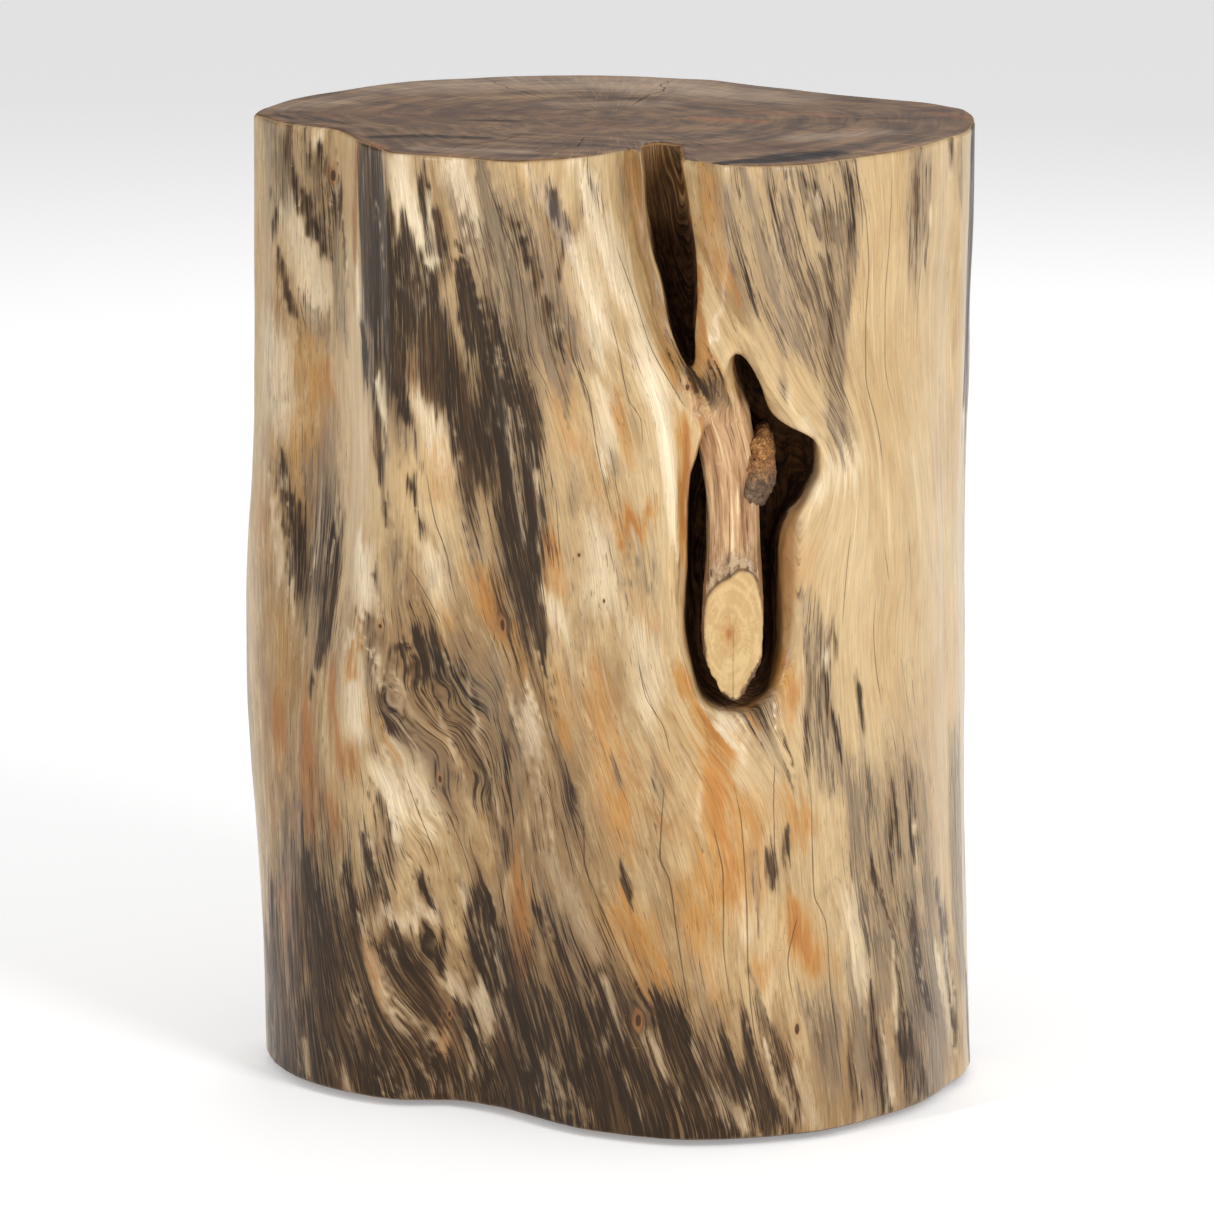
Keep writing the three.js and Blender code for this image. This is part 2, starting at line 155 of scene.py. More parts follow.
# z, x of the cleft's left and right edge, depth and width of the roll on the left, depth and width on the right
CLEFT_ROLL = [
    [240, 34, 36, 0, 8, 0, 6], [262, 34, 36, 2, 8, 0, 6], [285, 35, 38, 4, 10, 0, 6], [310, 36, 40, 6, 14, 1, 8],
    [330, 38.6, 46, 7, 18, 3, 10], [345, 40, 48, 9, 21, 5, 12], [361, 36, 42, 13, 25, 8, 15], [372, 29.8, 39.5, 18, 28, 10, 19],
    [384, 25.7, 39, 23, 33, 12, 21], [398, 23.4, 40.8, 27, 37, 13, 23], [411, 19.3, 40.3, 32, 41, 15, 25],
    [427, 16.1, 38, 38, 47, 19, 28], [457.2, 13, 34, 48, 60, 24, 32]]
# soft ridges and furrows down the front: half width, rows of z, x, height
RELIEF = [
    [9, [[180, -131.6, 0], [214, -129, -1.5], [258, -125.5, -2.6], [311, -120.4, -3], [381, -121.2, -2.4], [427, -121.6, -1.5], [457, -122.5, -0.6]]],
    [11, [[150, -122, 0], [173, -121.5, 1.2], [212, -117, 2.6], [260, -112.5, 3.2], [317, -111.5, 2.6], [383, -111, 1.6], [439, -112, 0.5], [457, -112, 0]]],
    [17, [[225, 30, 0], [262, 24, 2.2], [298, 17, 3.2], [321, 14, 3.6], [348, 8, 3.6], [367, 0, 3.2], [394, -10, 2.6], [426, -19, 1.5], [457, -30, 0]]]]

NA = 4096
ANG = (np.arange(NA) + 0.5) / NA * 2 * np.pi - np.pi


def outline_table(points):
    p = np.array(points, float)
    a, r = np.arctan2(p[:, 1], p[:, 0]), np.hypot(p[:, 0], p[:, 1])
    o = np.argsort(a)
    a, r = a[o], r[o]
    t = pchip(np.concatenate([a[-4:] - 2 * np.pi, a, a[:4] + 2 * np.pi]), np.concatenate([r[-4:], r, r[:4]]), ANG)
    k = np.arange(-24, 25)                     # takes the small corners out of the curve
    w = np.exp(-(k / 11.0) ** 2)
    w /= w.sum()
    return sum(w[i] * np.roll(t, k[i]) for i in range(len(k)))


TOP_R, BASE_R = outline_table(TOP_OUTLINE), outline_table(BASE_OUTLINE)


def round_table(table, ang):
    f = (np.asarray(ang, float) + np.pi) / (2 * np.pi) * NA - 0.5
    i = np.floor(f).astype(int)
    t = f - i
    return table[i % NA] * (1 - t) + table[(i + 1) % NA] * t


ZT = np.linspace(-10, 470, 1921)


def z_table(rows, col):
    return pchip([r[0] for r in rows], [r[col] for r in rows], ZT)


T_LEFT, T_RIGHT = z_table(LEFT_FLANK, 1), z_table(RIGHT_FLANK, 1)
T_ROLL = [z_table(CLEFT_ROLL, k) for k in range(1, 7)]
T_RELIEF = [(w, rows[0][0], z_table(rows, 1), z_table(rows, 2)) for w, rows in RELIEF]


def at_z(table, z):
    return np.interp(z, ZT, table)


def turn(a, b):
    return (a - b + np.pi) % (2 * np.pi) - np.pi


def trunk_r(ang, z):
    """Radius of the trunk's outside, the same surface as the CAD's."""
    z = np.clip(z, Z0, H)
    t = (z - Z0) / (H - Z0)
    w = 0.35 * t * t * (3 - 2 * t) + 0.65 * t
    r = w * round_table(TOP_R, ang) + (1 - w) * round_table(BASE_R, ang)
    r = r + at_z(T_LEFT, z) * np.exp(-((turn(ang, 3.0718) / 0.4189) ** 2)) + at_z(T_RIGHT, z) * np.exp(-((turn(ang, 0) / 0.4189) ** 2))
    front = np.sin(ang) < 0
    x = r * np.cos(ang)
    xl, xr, dl, wl, dr, wr = [at_z(q, z) for q in T_ROLL]
    left = np.where(x < xl, dl * np.clip(1 - (xl - x) / wl, 0, 1) ** 1.3, dl)
    right = np.where(x > xr, dr * np.clip(1 - (x - xr) / wr, 0, 1) ** 2.5, dr)
    k = np.clip((x - xl) / (xr - xl), 0, 1)
    k = k * k * (3 - 2 * k)
    cut = ((1 - k) * left + k * right) * (z > 240)
    for w_, z0, tx, th in T_RELIEF:
        cut = cut - at_z(th, z) * np.exp(-(((x - at_z(tx, z)) / w_) ** 2)) * (z > z0)
    return r - np.where(front, cut, 0)


# distance round the trunk, measured on a middle outline from straight in front (-Y), growing to the right (+X)
_r = 0.5 * (TOP_R + BASE_R)
_step = np.hypot(_r, np.gradient(_r, ANG)) * (2 * np.pi / NA)
_s = np.cumsum(_step) - 0.5 * _step
AROUND = float(_step.sum())
_front = np.interp(-np.pi / 2, ANG, _s)


def s_of(ang):
    """Arc length in mm of a direction, from -AROUND/2 to AROUND/2."""
    a = (np.asarray(ang, float) + np.pi) % (2 * np.pi) - np.pi
    s = np.interp(a, np.concatenate([[ANG[-1] - 2 * np.pi], ANG, [ANG[0] + 2 * np.pi]]), np.concatenate([[_s[-1] - AROUND], _s, [_s[0] + AROUND]])) - _front
    return (s + AROUND / 2) % AROUND - AROUND / 2


def on_trunk(px, py):
    """The point of the trunk's outside seen at a pixel of the 1214 x 1214 photograph."""
    px, py = np.atleast_1d(np.asarray(px, float)), np.atleast_1d(np.asarray(py, float))
    d = ((px - PX / 2) / FOCAL)[:, None] * np.array([1.0, 0, 0]) - ((py - PX / 2) / FOCAL)[:, None] * UP - BACK
    lo, hi = (-260 - EYE[1]) / d[:, 1], (20 - EYE[1]) / d[:, 1]
    for _ in range(36):
        m = (lo + hi) / 2
        q = EYE + m[:, None] * d
        ins = np.hypot(q[:, 0], q[:, 1]) < trunk_r(np.arctan2(q[:, 1], q[:, 0]), q[:, 2])
        hi, lo = np.where(ins, m, hi), np.where(ins, lo, m)
    return EYE + hi[:, None] * d


def on_wood(points):
    """Pixels of the photograph as (distance round, height) on the trunk."""
    p = np.array(points, float)
    q = on_trunk(p[:, 0], p[:, 1])
    return np.stack([s_of(np.arctan2(q[:, 1], q[:, 0])), q[:, 2]], -1)


# ------------------------------------------------------------------------------------------------ the run of the grain
# The grain is a field u(s, z): a line of wood keeps one u. It runs up the trunk, leans where the wood leans, and parts
# round the hollow and round knots as a stream parts round a stone.
# Lines of grain as they run in the photograph, each from top to bottom.
GRAIN = [
    [(262, 130), (262, 300), (256, 450), (253, 600), (256, 750), (264, 900), (276, 1050)],
    [(300, 140), (303, 300), (298, 470), (297, 620), (294, 760), (297, 880), (304, 1000), (318, 1085)],
    [(330, 150), (334, 300), (334, 450), (326, 600), (316, 740), (326, 880), (346, 964), (358, 1011), (381, 1058), (392, 1095)],
    [(352, 150), (356, 300), (360, 420), (361, 520), (353, 620), (348, 720), (352, 820), (363, 928), (381, 987), (405, 1023), (440, 1082)],
    [(376, 156), (379, 250), (380, 350), (380, 450), (379, 540), (374, 620), (368, 700), (382, 760), (405, 830), (432, 890), (450, 950), (476, 1010), (510, 1105)],
    [(394, 160), (400, 250), (403, 350), (402, 450), (400, 530), (400, 590), (406, 650), (424, 699), (456, 731), (478, 768), (489, 817), (497, 869), (510, 930), (530, 1000), (560, 1115)],
    [(412, 165), (424, 230), (430, 300), (430, 380), (427, 440), (429, 472), (437, 520), (447, 554), (454, 591), (462, 620), (482, 665), (506, 720), (520, 790), (530, 860), (545, 930), (570, 1000), (604, 1120)],
    [(432, 168), (447, 250), (462, 310), (471, 380), (480, 440), (488, 500), (502, 560), (520, 620), (536, 680), (548, 720), (563, 766), (576, 820), (586, 862), (594, 888), (613, 935), (637, 983), (660, 1050), (690, 1130)],
    [(465, 170), (480, 215), (498, 280), (512, 340), (522, 400), (530, 460), (536, 520), (541, 580), (549, 640), (562, 700), (580, 760), (602, 820), (620, 870), (640, 930), (664, 1000), (686, 1060), (716, 1132)],
    [(498, 165), (516, 256), (525, 309), (531, 348), (547, 387), (566, 440), (580, 500), (590, 560), (598, 640), (612, 700), (632, 760), (650, 810), (660, 858), (669, 879), (678, 928), (690, 1001), (706, 1055), (740, 1130)],
    [(545, 166), (556, 230), (567, 292), (573, 350), (588, 394), (597, 449), (612, 510), (626, 580), (637, 658), (646, 694), (664, 729), (675, 756), (694, 800), (712, 850), (722, 881), (725, 940), (731, 999), (750, 1060), (768, 1125)],
    [(585, 165), (596, 215), (609, 313), (619, 348), (630, 400), (641, 425), (650, 470), (658, 540), (664, 620), (674, 690), (700, 735), (730, 775), (741, 822), (746, 893), (748, 964), (754, 1023), (776, 1108)],
    [(615, 160), (621, 242), (637, 302), (653, 350), (671, 384), (680, 420), (682, 470), (680, 540), (678, 620), (686, 695), (714, 735), (748, 762), (774, 795), (786, 850), (792, 917), (786, 964), (793, 999), (806, 1060), (816, 1120)],
    [(716, 176), (728, 240), (742, 290), (764, 335), (785, 375), (806, 418), (838, 438), (846, 480), (826, 530), (812, 600), (808, 680), (810, 740), (812, 775), (813, 846), (815, 893), (826, 926), (831, 987), (839, 1046), (847, 1105)],
    [(756, 170), (766, 230), (780, 290), (800, 340), (818, 390), (842, 430), (858, 480), (850, 540), (844, 600), (842, 660), (848, 747), (852, 800), (857, 880), (868, 940), (873, 1000), (880, 1060), (886, 1095)],
    [(784, 166), (791, 205), (805, 256), (821, 302), (835, 350), (850, 400), (866, 450), (866, 520), (858, 600), (859, 660), (866, 720), (872, 780), (876, 850), (888, 921), (897, 960), (905, 1010), (912, 1085)],
    [(849, 160), (861, 194), (867, 224), (868, 267), (867, 325), (868, 373), (880, 428), (886, 500), (886, 582), (878, 630), (877, 665), (884, 711), (893, 780), (899, 850), (909, 920), (921, 980), (932, 1075)],
    [(888, 157), (891, 175), (890, 233), (887, 302), (888, 359), (897, 417), (906, 480), (909, 527), (911, 584), (903, 653), (910, 722), (919, 800), (924, 880), (932, 950), (940, 1000), (948, 1066)],
    [(923, 152), (922, 198), (922, 244), (918, 302), (918, 359), (926, 450), (932, 560), (934, 680), (940, 800), (946, 900), (954, 1000), (958, 1050)],
    [(950, 140), (951, 260), (949, 400), (948, 560), (948, 720), (952, 880), (962, 1020)]]
# knots that the grain parts round: pixel of the photograph, half width and half height in mm
KNOTS_SEEN = [(443, 693, 4.0, 3.6), (394, 700, 4.6, 5.2), (504, 622, 2.6, 3.6), (381, 626, 2.0, 2.6), (638, 1020, 3.0, 4.0), (797, 1030, 1.8, 2.6), (337, 175, 3.4, 4.6), (430, 942, 3.0, 5.0), (578, 796, 3.0, 5.0)]
# and on the sides and the back, as distance round, height, half width, half height
KNOTS_BACK = [(292, 330, 10.0, 13.0), (372, 118, 6.5, 9.0), (-398, 246, 13.0, 17.0), (-300, 96, 4.0, 6.0), (468, 372, 4.5, 6.5), (-262, 380, 3.6, 5.0), (505, 205, 3.6, 5.2)]

SN, ZN = 1050, 236
S_GRID = (np.arange(SN) + 0.5) / SN * AROUND - AROUND / 2
Z_GRID = np.linspace(-6, 464, ZN)


def flow_table():
    lines, base = [], []
    for g in GRAIN:
        w = on_wood(g)
        o = np.argsort(w[:, 1])
        zz, ss = w[o, 1], w[o, 0]
        lines.append(pchip(zz, ss, Z_GRID))
        base.append(np.interp(330.0, zz, ss) * 0.4 + 0.6 * ss.mean())
    lines = [np.full(ZN, -AROUND / 2)] + [l for l in lines] + [np.full(ZN, AROUND / 2)]
    base = [-AROUND / 2] + base + [AROUND / 2]
    u = np.full((SN, ZN), base[0])
    for a in range(len(lines) - 1):
        span = np.maximum(lines[a + 1] - lines[a], 3.0)
        u += np.clip((S_GRID[:, None] - lines[a][None, :]) / span[None, :], 0, 1) * (base[a + 1] - base[a])
    return u


def blur_table(t, ss, sz):
    """Gaussian blur of a table that grows by AROUND each time round."""
    flat = t - S_GRID[:, None]
    n = int(3 * ss / (AROUND / SN)) + 1
    k = np.arange(-n, n + 1)
    w = np.exp(-0.5 * (k * AROUND / SN / ss) ** 2)
    w /= w.sum()
    flat = sum(w[i] * np.roll(flat, k[i], 0) for i in range(len(k)))
    n = int(3 * sz / 2) + 1
    k = np.arange(-n, n + 1)
    w = np.exp(-0.5 * (k * 2.0 / sz) ** 2)
    w /= w.sum()
    pad = np.pad(flat, ((0, 0), (n, n)), mode="edge")
    flat = sum(w[i] * pad[:, i:i + ZN] for i in range(len(k)))
    return flat + S_GRID[:, None]


U_FLOW = blur_table(flow_table(), 7.0, 12.0)
_S2, _Z2 = np.meshgrid(S_GRID, Z_GRID, indexing="ij")
_w = np.exp(-((_S2 + 0.0) / 210.0) ** 4)                       # the back has its own slow wander
_c, _q = np.cos(_S2 / AROUND * 2 * np.pi) * 167, np.sin(_S2 / AROUND * 2 * np.pi) * 167
U_FLOW = U_FLOW + (1 - _w) * 16.0 * fbm(_c / 95, _q / 95, _Z2 / 170, 2, 5) + 1.6 * fbm(_c / 24, _q / 24, _Z2 / 52, 2, 11)
_lowleft = np.exp(-((_S2 + 95) / 62) ** 2 - ((_Z2 - 178) / 62) ** 2)  # curly figure low on the left
U_FLOW = U_FLOW + _lowleft * 5.5 * fbm(_c / 21, _q / 21, _Z2 / 25, 2, 23)


def part_round(u, s0, z0, a, b):
    """Grain that parts round an oval: u keeps its value on the oval's edge."""
    ds = (_S2 - s0 + AROUND / 2) % AROUND - AROUND / 2
    dz = (_Z2 - z0) * (a / b)
    i, j = int((s0 + AROUND / 2) / AROUND * SN) % SN, int(np.clip((z0 + 6) / 2, 0, ZN - 1))
    u0 = u[i, j]
    du = (u - u0 + AROUND / 2) % AROUND - AROUND / 2
    rr = ds * ds + dz * dz
    shrink = np.where(rr > a * a, a * a / np.maximum(rr, 1e-3), 1.0 - 0.0 * rr)
    fade = np.exp(-np.maximum(np.sqrt(rr) / a - 1, 0) / 4.0)
    return u - du * shrink * fade


for _px, _py, _a, _b in KNOTS_SEEN:
    _p = on_wood([(_px, _py)])[0]
    U_FLOW = part_round(U_FLOW, _p[0], _p[1], _a, _b)
for _s0, _z0, _a, _b in KNOTS_BACK:
    U_FLOW = part_round(U_FLOW, _s0, _z0, _a, _b)


def table_at(table, s, z, grows=True):
    f = (np.asarray(s, float) + AROUND / 2) / AROUND * SN - 0.5
    i = np.floor(f).astype(int)
    t = f - i
    g = np.clip((np.asarray(z, float) + 6) / 2, 0, ZN - 1.001)
    j = g.astype(int)
    q = g - j
    i0, i1 = i % SN, (i + 1) % SN
    add0, add1 = ((i - i0) / SN * AROUND, (i + 1 - i1) / SN * AROUND) if grows else (0.0, 0.0)
    a = (table[i0, j] + add0) * (1 - t) + (table[i1, j] + add1) * t
    b = (table[i0, j + 1] + add0) * (1 - t) + (table[i1, j + 1] + add1) * t
    return a * (1 - q) + b * q


RING = AROUND / (2 * np.pi)


def flow_xyz(u, v):
    """Grain coordinates as a point on a cylinder, so that a pattern made from them has no seam."""
    return RING * np.cos(u / RING), RING * np.sin(u / RING), v


# rolls of wood that stand a little proud: width and height in mm, then pixels of the photograph along the crest
ROLLS = [(5.0, 2.0, [(588, 180), (603, 235), (622, 290), (642, 335), (655, 370)]), (5.2, 2.3, [(648, 360), (660, 410), (668, 460), (675, 520), (680, 575)]), (9.0, 1.7, [(722, 716), (730, 738)]), (4.5, 1.2, [(790, 405), (806, 432), (812, 450)])]


def relief_table():
    """Low waves left by hand sanding and by the fibres, long with the grain, in mm."""
    x, y, v = flow_xyz(U_FLOW, _Z2)
    t = 0.55 * fbm(x / 30, y / 30, v / 130, 2, 31) + 0.34 * fbm(x / 11, y / 11, v / 70, 2, 37) + 0.15 * noise(x / 5.0, y / 5.0, v / 36, 41)
    t = t + 1.0 * _lowleft * fbm(x / 16, y / 16, v / 24, 2, 43)
    for s0, z0, a, b in [tuple(on_wood([(k[0], k[1])])[0]) + (k[2], k[3]) for k in KNOTS_SEEN] + KNOTS_BACK:
        ds = (_S2 - s0 + AROUND / 2) % AROUND - AROUND / 2
        q = np.hypot(ds / (a * 2.2), (_Z2 - z0) / (b * 2.6))
        t = t + min(1.6, a * 0.16) * np.exp(-q * q)
    for wide, high, line in ROLLS:
        w = on_wood(line)
        o = np.argsort(w[:, 1])
        z0, z1 = w[o[0], 1], w[o[-1], 1]
        k = np.clip((_Z2 - z0) / (z1 - z0), 0, 1)
        q = (_S2 - pchip(w[o, 1], w[o, 0], np.clip(_Z2, z0, z1))) / wide
        out = np.maximum(z0 - _Z2, _Z2 - z1) / (wide * 1.6)
        t = t + high * np.sin(np.pi * np.clip(0.12 + 0.76 * k, 0, 1)) ** 0.7 * np.exp(-q * q) * np.exp(-np.maximum(out, 0) ** 2)
    return t


R_TAB = relief_table()

# ------------------------------------------------------------------------------------------------ the cleft and the hollow


def poly_sd(x, z, pts):
    """Signed distance to a closed outline, negative inside."""
    best = np.full(x.shape, 1e9)
    inside = np.zeros(x.shape, bool)
    n = len(pts)
    for i in range(n):
        (ax, az), (bx, bz) = pts[i], pts[(i + 1) % n]
        ex, ez = bx - ax, bz - az
        wx, wz = x - ax, z - az
        t = np.clip((wx * ex + wz * ez) / (ex * ex + ez * ez + 1e-9), 0, 1)
        best = np.minimum(best, (wx - ex * t) ** 2 + (wz - ez * t) ** 2)
        c1, c2, c3 = z >= az, z < bz, ex * wz > ez * wx
        inside ^= (c1 & c2 & c3) | (~c1 & ~c2 & ~c3)
    return np.where(inside, -1.0, 1.0) * np.sqrt(best)


def rounder(pts, times=1):
    """Corner cutting, which turns a coarse outline into a smooth one."""
    p = np.array(pts, float)
    for _ in range(times):
        q = np.roll(p, -1, 0)
        p = np.stack([p * 0.75 + q * 0.25, p * 0.25 + q * 0.75], 1).reshape(-1, 2)
    return p


def blur2(t, n):
    k = np.arange(-n, n + 1)
    w = np.exp(-2.0 * (k / max(n, 1)) ** 2)
    w /= w.sum()
    for ax in (0, 1):
        pad = [(0, 0), (0, 0)]
        pad[ax] = (n, n)
        q = np.pad(t, pad, mode="edge")
        t = sum(w[i] * (q[i:i + t.shape[0]] if ax == 0 else q[:, i:i + t.shape[1]]) for i in range(len(k)))
    return t


class Pit:
    """Outline in x and z that changes with depth, kept as a table of distances."""

    def __init__(self, x0, x1, z0, z1, levels, step=0.5, soft=2):
        self.x0, self.z0, self.step = x0, z0, step
        gx, gz = np.meshgrid(np.arange(x0, x1, step), np.arange(z0, z1, step), indexing="ij")
        self.t = np.array([blur2(poly_sd(gx, gz, rounder(p)), soft) for p in levels])

    def __call__(self, x, z, level):
        n, a, b = self.t.shape
        f = np.clip((x - self.x0) / self.step, 0, a - 1.001)
        g = np.clip((z - self.z0) / self.step, 0, b - 1.001)
        h = np.clip(level, 0, 1) * (n - 1.001)
        i, j, k = f.astype(int), g.astype(int), h.astype(int)
        f, g, h = f - i, g - j, h - k
        out = 0
        for c in (0, 1):
            wc = h if c else 1 - h
            out = out + wc * ((self.t[k + c, i, j] * (1 - f) + self.t[k + c, i + 1, j] * f) * (1 - g) + (self.t[k + c, i, j + 1] * (1 - f) + self.t[k + c, i + 1, j + 1] * f) * g)
        return out


CLEFT = [[12.9, 490], [12.9, 457], [15.2, 444], [16.1, 427], [19.3, 410], [23.4, 399], [25.7, 384], [29.8, 372], [34.6, 363], [38.1, 360.8], [39.9, 367], [39.2, 380], [40.8, 397], [40.3, 412], [38, 427], [35.5, 444.5], [33.2, 457], [33.2, 490]]
# mouth of the hollow and how far each point moves by the time it reaches the back wall
HOLLOW = [[56.4, 370.7, 3, 0], [61, 368.5, 4, 1], [65.1, 362.4, 4, 2], [69.2, 354.1, 4, 3], [71.6, 345.2, 4, 4], [74.8, 340, 4, 5], [81.3, 334.6, 3, 6], [89.6, 330.8, 0, 5], [97.1, 325.2, -4, 3], [101.3, 318.5, -7, 1], [101.8, 311, -8, 1], [97.6, 304.7, -7, 2], [93.4, 298.3, -7, 2], [88.4, 291.9, -9, 1], [86.5, 281, -11.5, 0], [86.2, 260, -12.5, 0], [85.6, 240, -12, 2], [82.5, 226, -9, 5], [77.5, 214.5, -6, 8], [70, 207.4, -3, 11], [62.2, 204.3, 0, 12], [56.2, 203.9, 1, 12], [48.9, 205, 2, 11], [43.3, 208.6, 3, 9], [39.2, 215.6, 3, 6], [37.4, 225.3, 2.5, 3], [35.3, 235, 2.5, 1], [34.1, 244, 2.5, 0], [34.1, 254.4, 2.5, 0], [35, 268.3, 2, 0], [35, 300.3, 2, 0], [35.9, 310.9, 2, 0], [38.6, 320.2, 2, -2], [41.2, 331, 3, -3], [45.8, 344, 3, -3], [50.8, 357, 3, -2]]
HOLLOW_FLOOR = -106.0


def cleft_level(t):
    s = 1 - 0.22 * t * t
    out = []
    for x, z in CLEFT:
        m = 37 + (23 - 37) * min(max((z - 362) / 95, 0), 1)
        out.append([m + (x - m) * s, z])
    return out


cleft_pit = Pit(0, 60, 348, 478, [cleft_level(t) for t in (0, 0.35, 0.7, 1.0)])
hollow_pit = Pit(18, 122, 192, 388, [[[x + dx * (1 - (1 - t) ** 3 if dx < -5 else t), z + dz * t] for x, z, dx, dz in HOLLOW] for t in (0, 0.25, 0.5, 0.75, 1.0)])

BRANCH = [[378, 43.5, -123, 13.5], [364, 45.2, -128.0, 14.4], [350, 48.2, -130.8, 14.0], [338, 51.2, -131.6, 13.4], [326, 53.6, -132.0, 12.9], [300, 56.0, -133.6, 12.0], [282, 56.5, -137.2, 12.2], [262, 56.7, -144.6, 13.4], [240, 56.6, -154.6, 14.2], [216, 56.7, -166, 14.2], [196, 56.7, -176, 14.2]][::-1]
BT = [z_table(BRANCH, k) for k in (1, 2, 3)]
SAW_POINT, SAW_LEAN = np.array([56.6, -153.4, 240.0]), math.radians(3)
SAW_N = np.array([0, -math.cos(SAW_LEAN), math.sin(SAW_LEAN)])


def branch_polar(x, y, z):
    cx, cy, r = [at_z(t, z) for t in BT]
    return np.arctan2(y - cy, x - cx), np.hypot(x - cx, (y - cy) / 1.04), r


def branch_sd(x, y, z):
    """The side branch as a bent round log with a stringy rind."""
    a, q, r = branch_polar(x, y, z)
    wave = 1 + 0.018 * np.sin(3 * a + z * 0.05) + 0.012 * np.sin(5 * a - z * 0.03)
    tw = a + 0.9 * smooth(318, 380, z)
    ca, sa = np.cos(tw), np.sin(tw)
    rind = 0.85 * fbm(ca * 2.6, sa * 2.6, z / 42, 2, 71) + 0.5 * fbm(ca * 6.5, sa * 6.5, z / 26, 2, 73) + 0.22 * noise(ca * 15, sa * 15, z / 9, 79)
    sunk = 1.5 * np.exp(-((turn(a, -2.2) / 0.22) ** 2)) * smooth(262, 300, z) + 1.1 * np.exp(-((turn(a, -1.0) / 0.16) ** 2)) * smooth(255, 290, z)
    return (q - (r * wave + rind - sunk)) * 0.94


def log_sd(x, y, z):
    """Signed distance of the trunk with its cleft and hollow and the root of the branch, negative in the wood."""
    ang, rad = np.arctan2(y, x), np.hypot(x, y)
    big = trunk_r(ang, z)
    side = rad - (big + table_at(R_TAB, s_of(ang), z, grows=False))
    out = np.maximum(z - H, Z0 - z)
    d = np.minimum(np.maximum(side + EDGE, out + EDGE), 0) + np.hypot(np.maximum(side + EDGE, 0), np.maximum(out + EDGE, 0)) - EDGE
    near = np.nonzero((y < -55) & (x > -4) & (x < 116) & (z > 193))[0]
    if not len(near):
        return d
    x, y, z, dn, deep = x[near], y[near], z[near], d[near], (big - rad)[near]
    rough = smooth(1.5, 9, deep)
    wall = 0.9 * fbm(x / 9, y / 11, z / 26, 3, 51) + 0.35 * fbm(x / 2.6, y / 3.4, z / 9, 2, 57)
    # the hollow
    h = z < 384
    if h.any():
        xh, yh, zh = x[h], y[h], z[h]
        lv = (yh + 152) / 40
        flat = hollow_pit(xh, zh, lv) + wall[h] * rough[h]
        floor = yh - (HOLLOW_FLOOR + 5.0 * noise(xh / 17, zh / 30, 0, 61) + 2.0 * noise(xh / 4.2, zh / 26, 0, 63))
        hole = smax(flat, floor, 9)
        k = 5.0 + 4.5 * smooth(52, 34, xh) * smooth(215, 240, zh) + 6.0 * smooth(74, 83, xh) * smooth(300, 280, zh) * smooth(206, 232, zh)
        dn[h] = smax(dn[h], -hole, k)
    # the root of the branch grows out of the wood between the two
    r = (z < 392) & (z > 322)
    if r.any():
        xr, yr, zr = x[r], y[r], z[r]
        grow = 4.6 * smooth(333, 356, zr)
        root = branch_sd(xr + grow, yr, zr) - grow - 0.25 + 3.0 * smooth(339, 331, zr)
        root = smax(root, smax(329 - zr, zr - 384, 4), 4)
        root = smax(root, 4.2 * smooth(366, 334, zr) + 0.6 - deep[r], 3)
        dn[r] = smin(dn[r], root, 3.0 + 4.0 * smooth(334, 352, zr))
    # the cleft
    c = z > 350
    if c.any():
        xc, yc, zc = x[c], y[c], z[c]
        back = -72 - 0.36 * np.maximum(0, H - zc) + 2.5 * noise(xc / 6, zc / 22, 0, 67)
        lv = (yc + 150) / (back + 150)
        flat = cleft_pit(xc, zc, lv) + (wall[c] + 0.8 * noise(xc / 30, yc / 4.5, zc / 60, 69)) * rough[c]
        hole = smax(flat, yc - back, 7)
        k = 3.2 + 3.2 * smooth(452, 436, zc) * smooth(28, 18, xc) + 1.6 * smooth(452, 430, zc)
        dn[c] = smax(dn[c], -hole, k)
    d[near] = dn
    return d


# ------------------------------------------------------------------------------------------------ making a surface


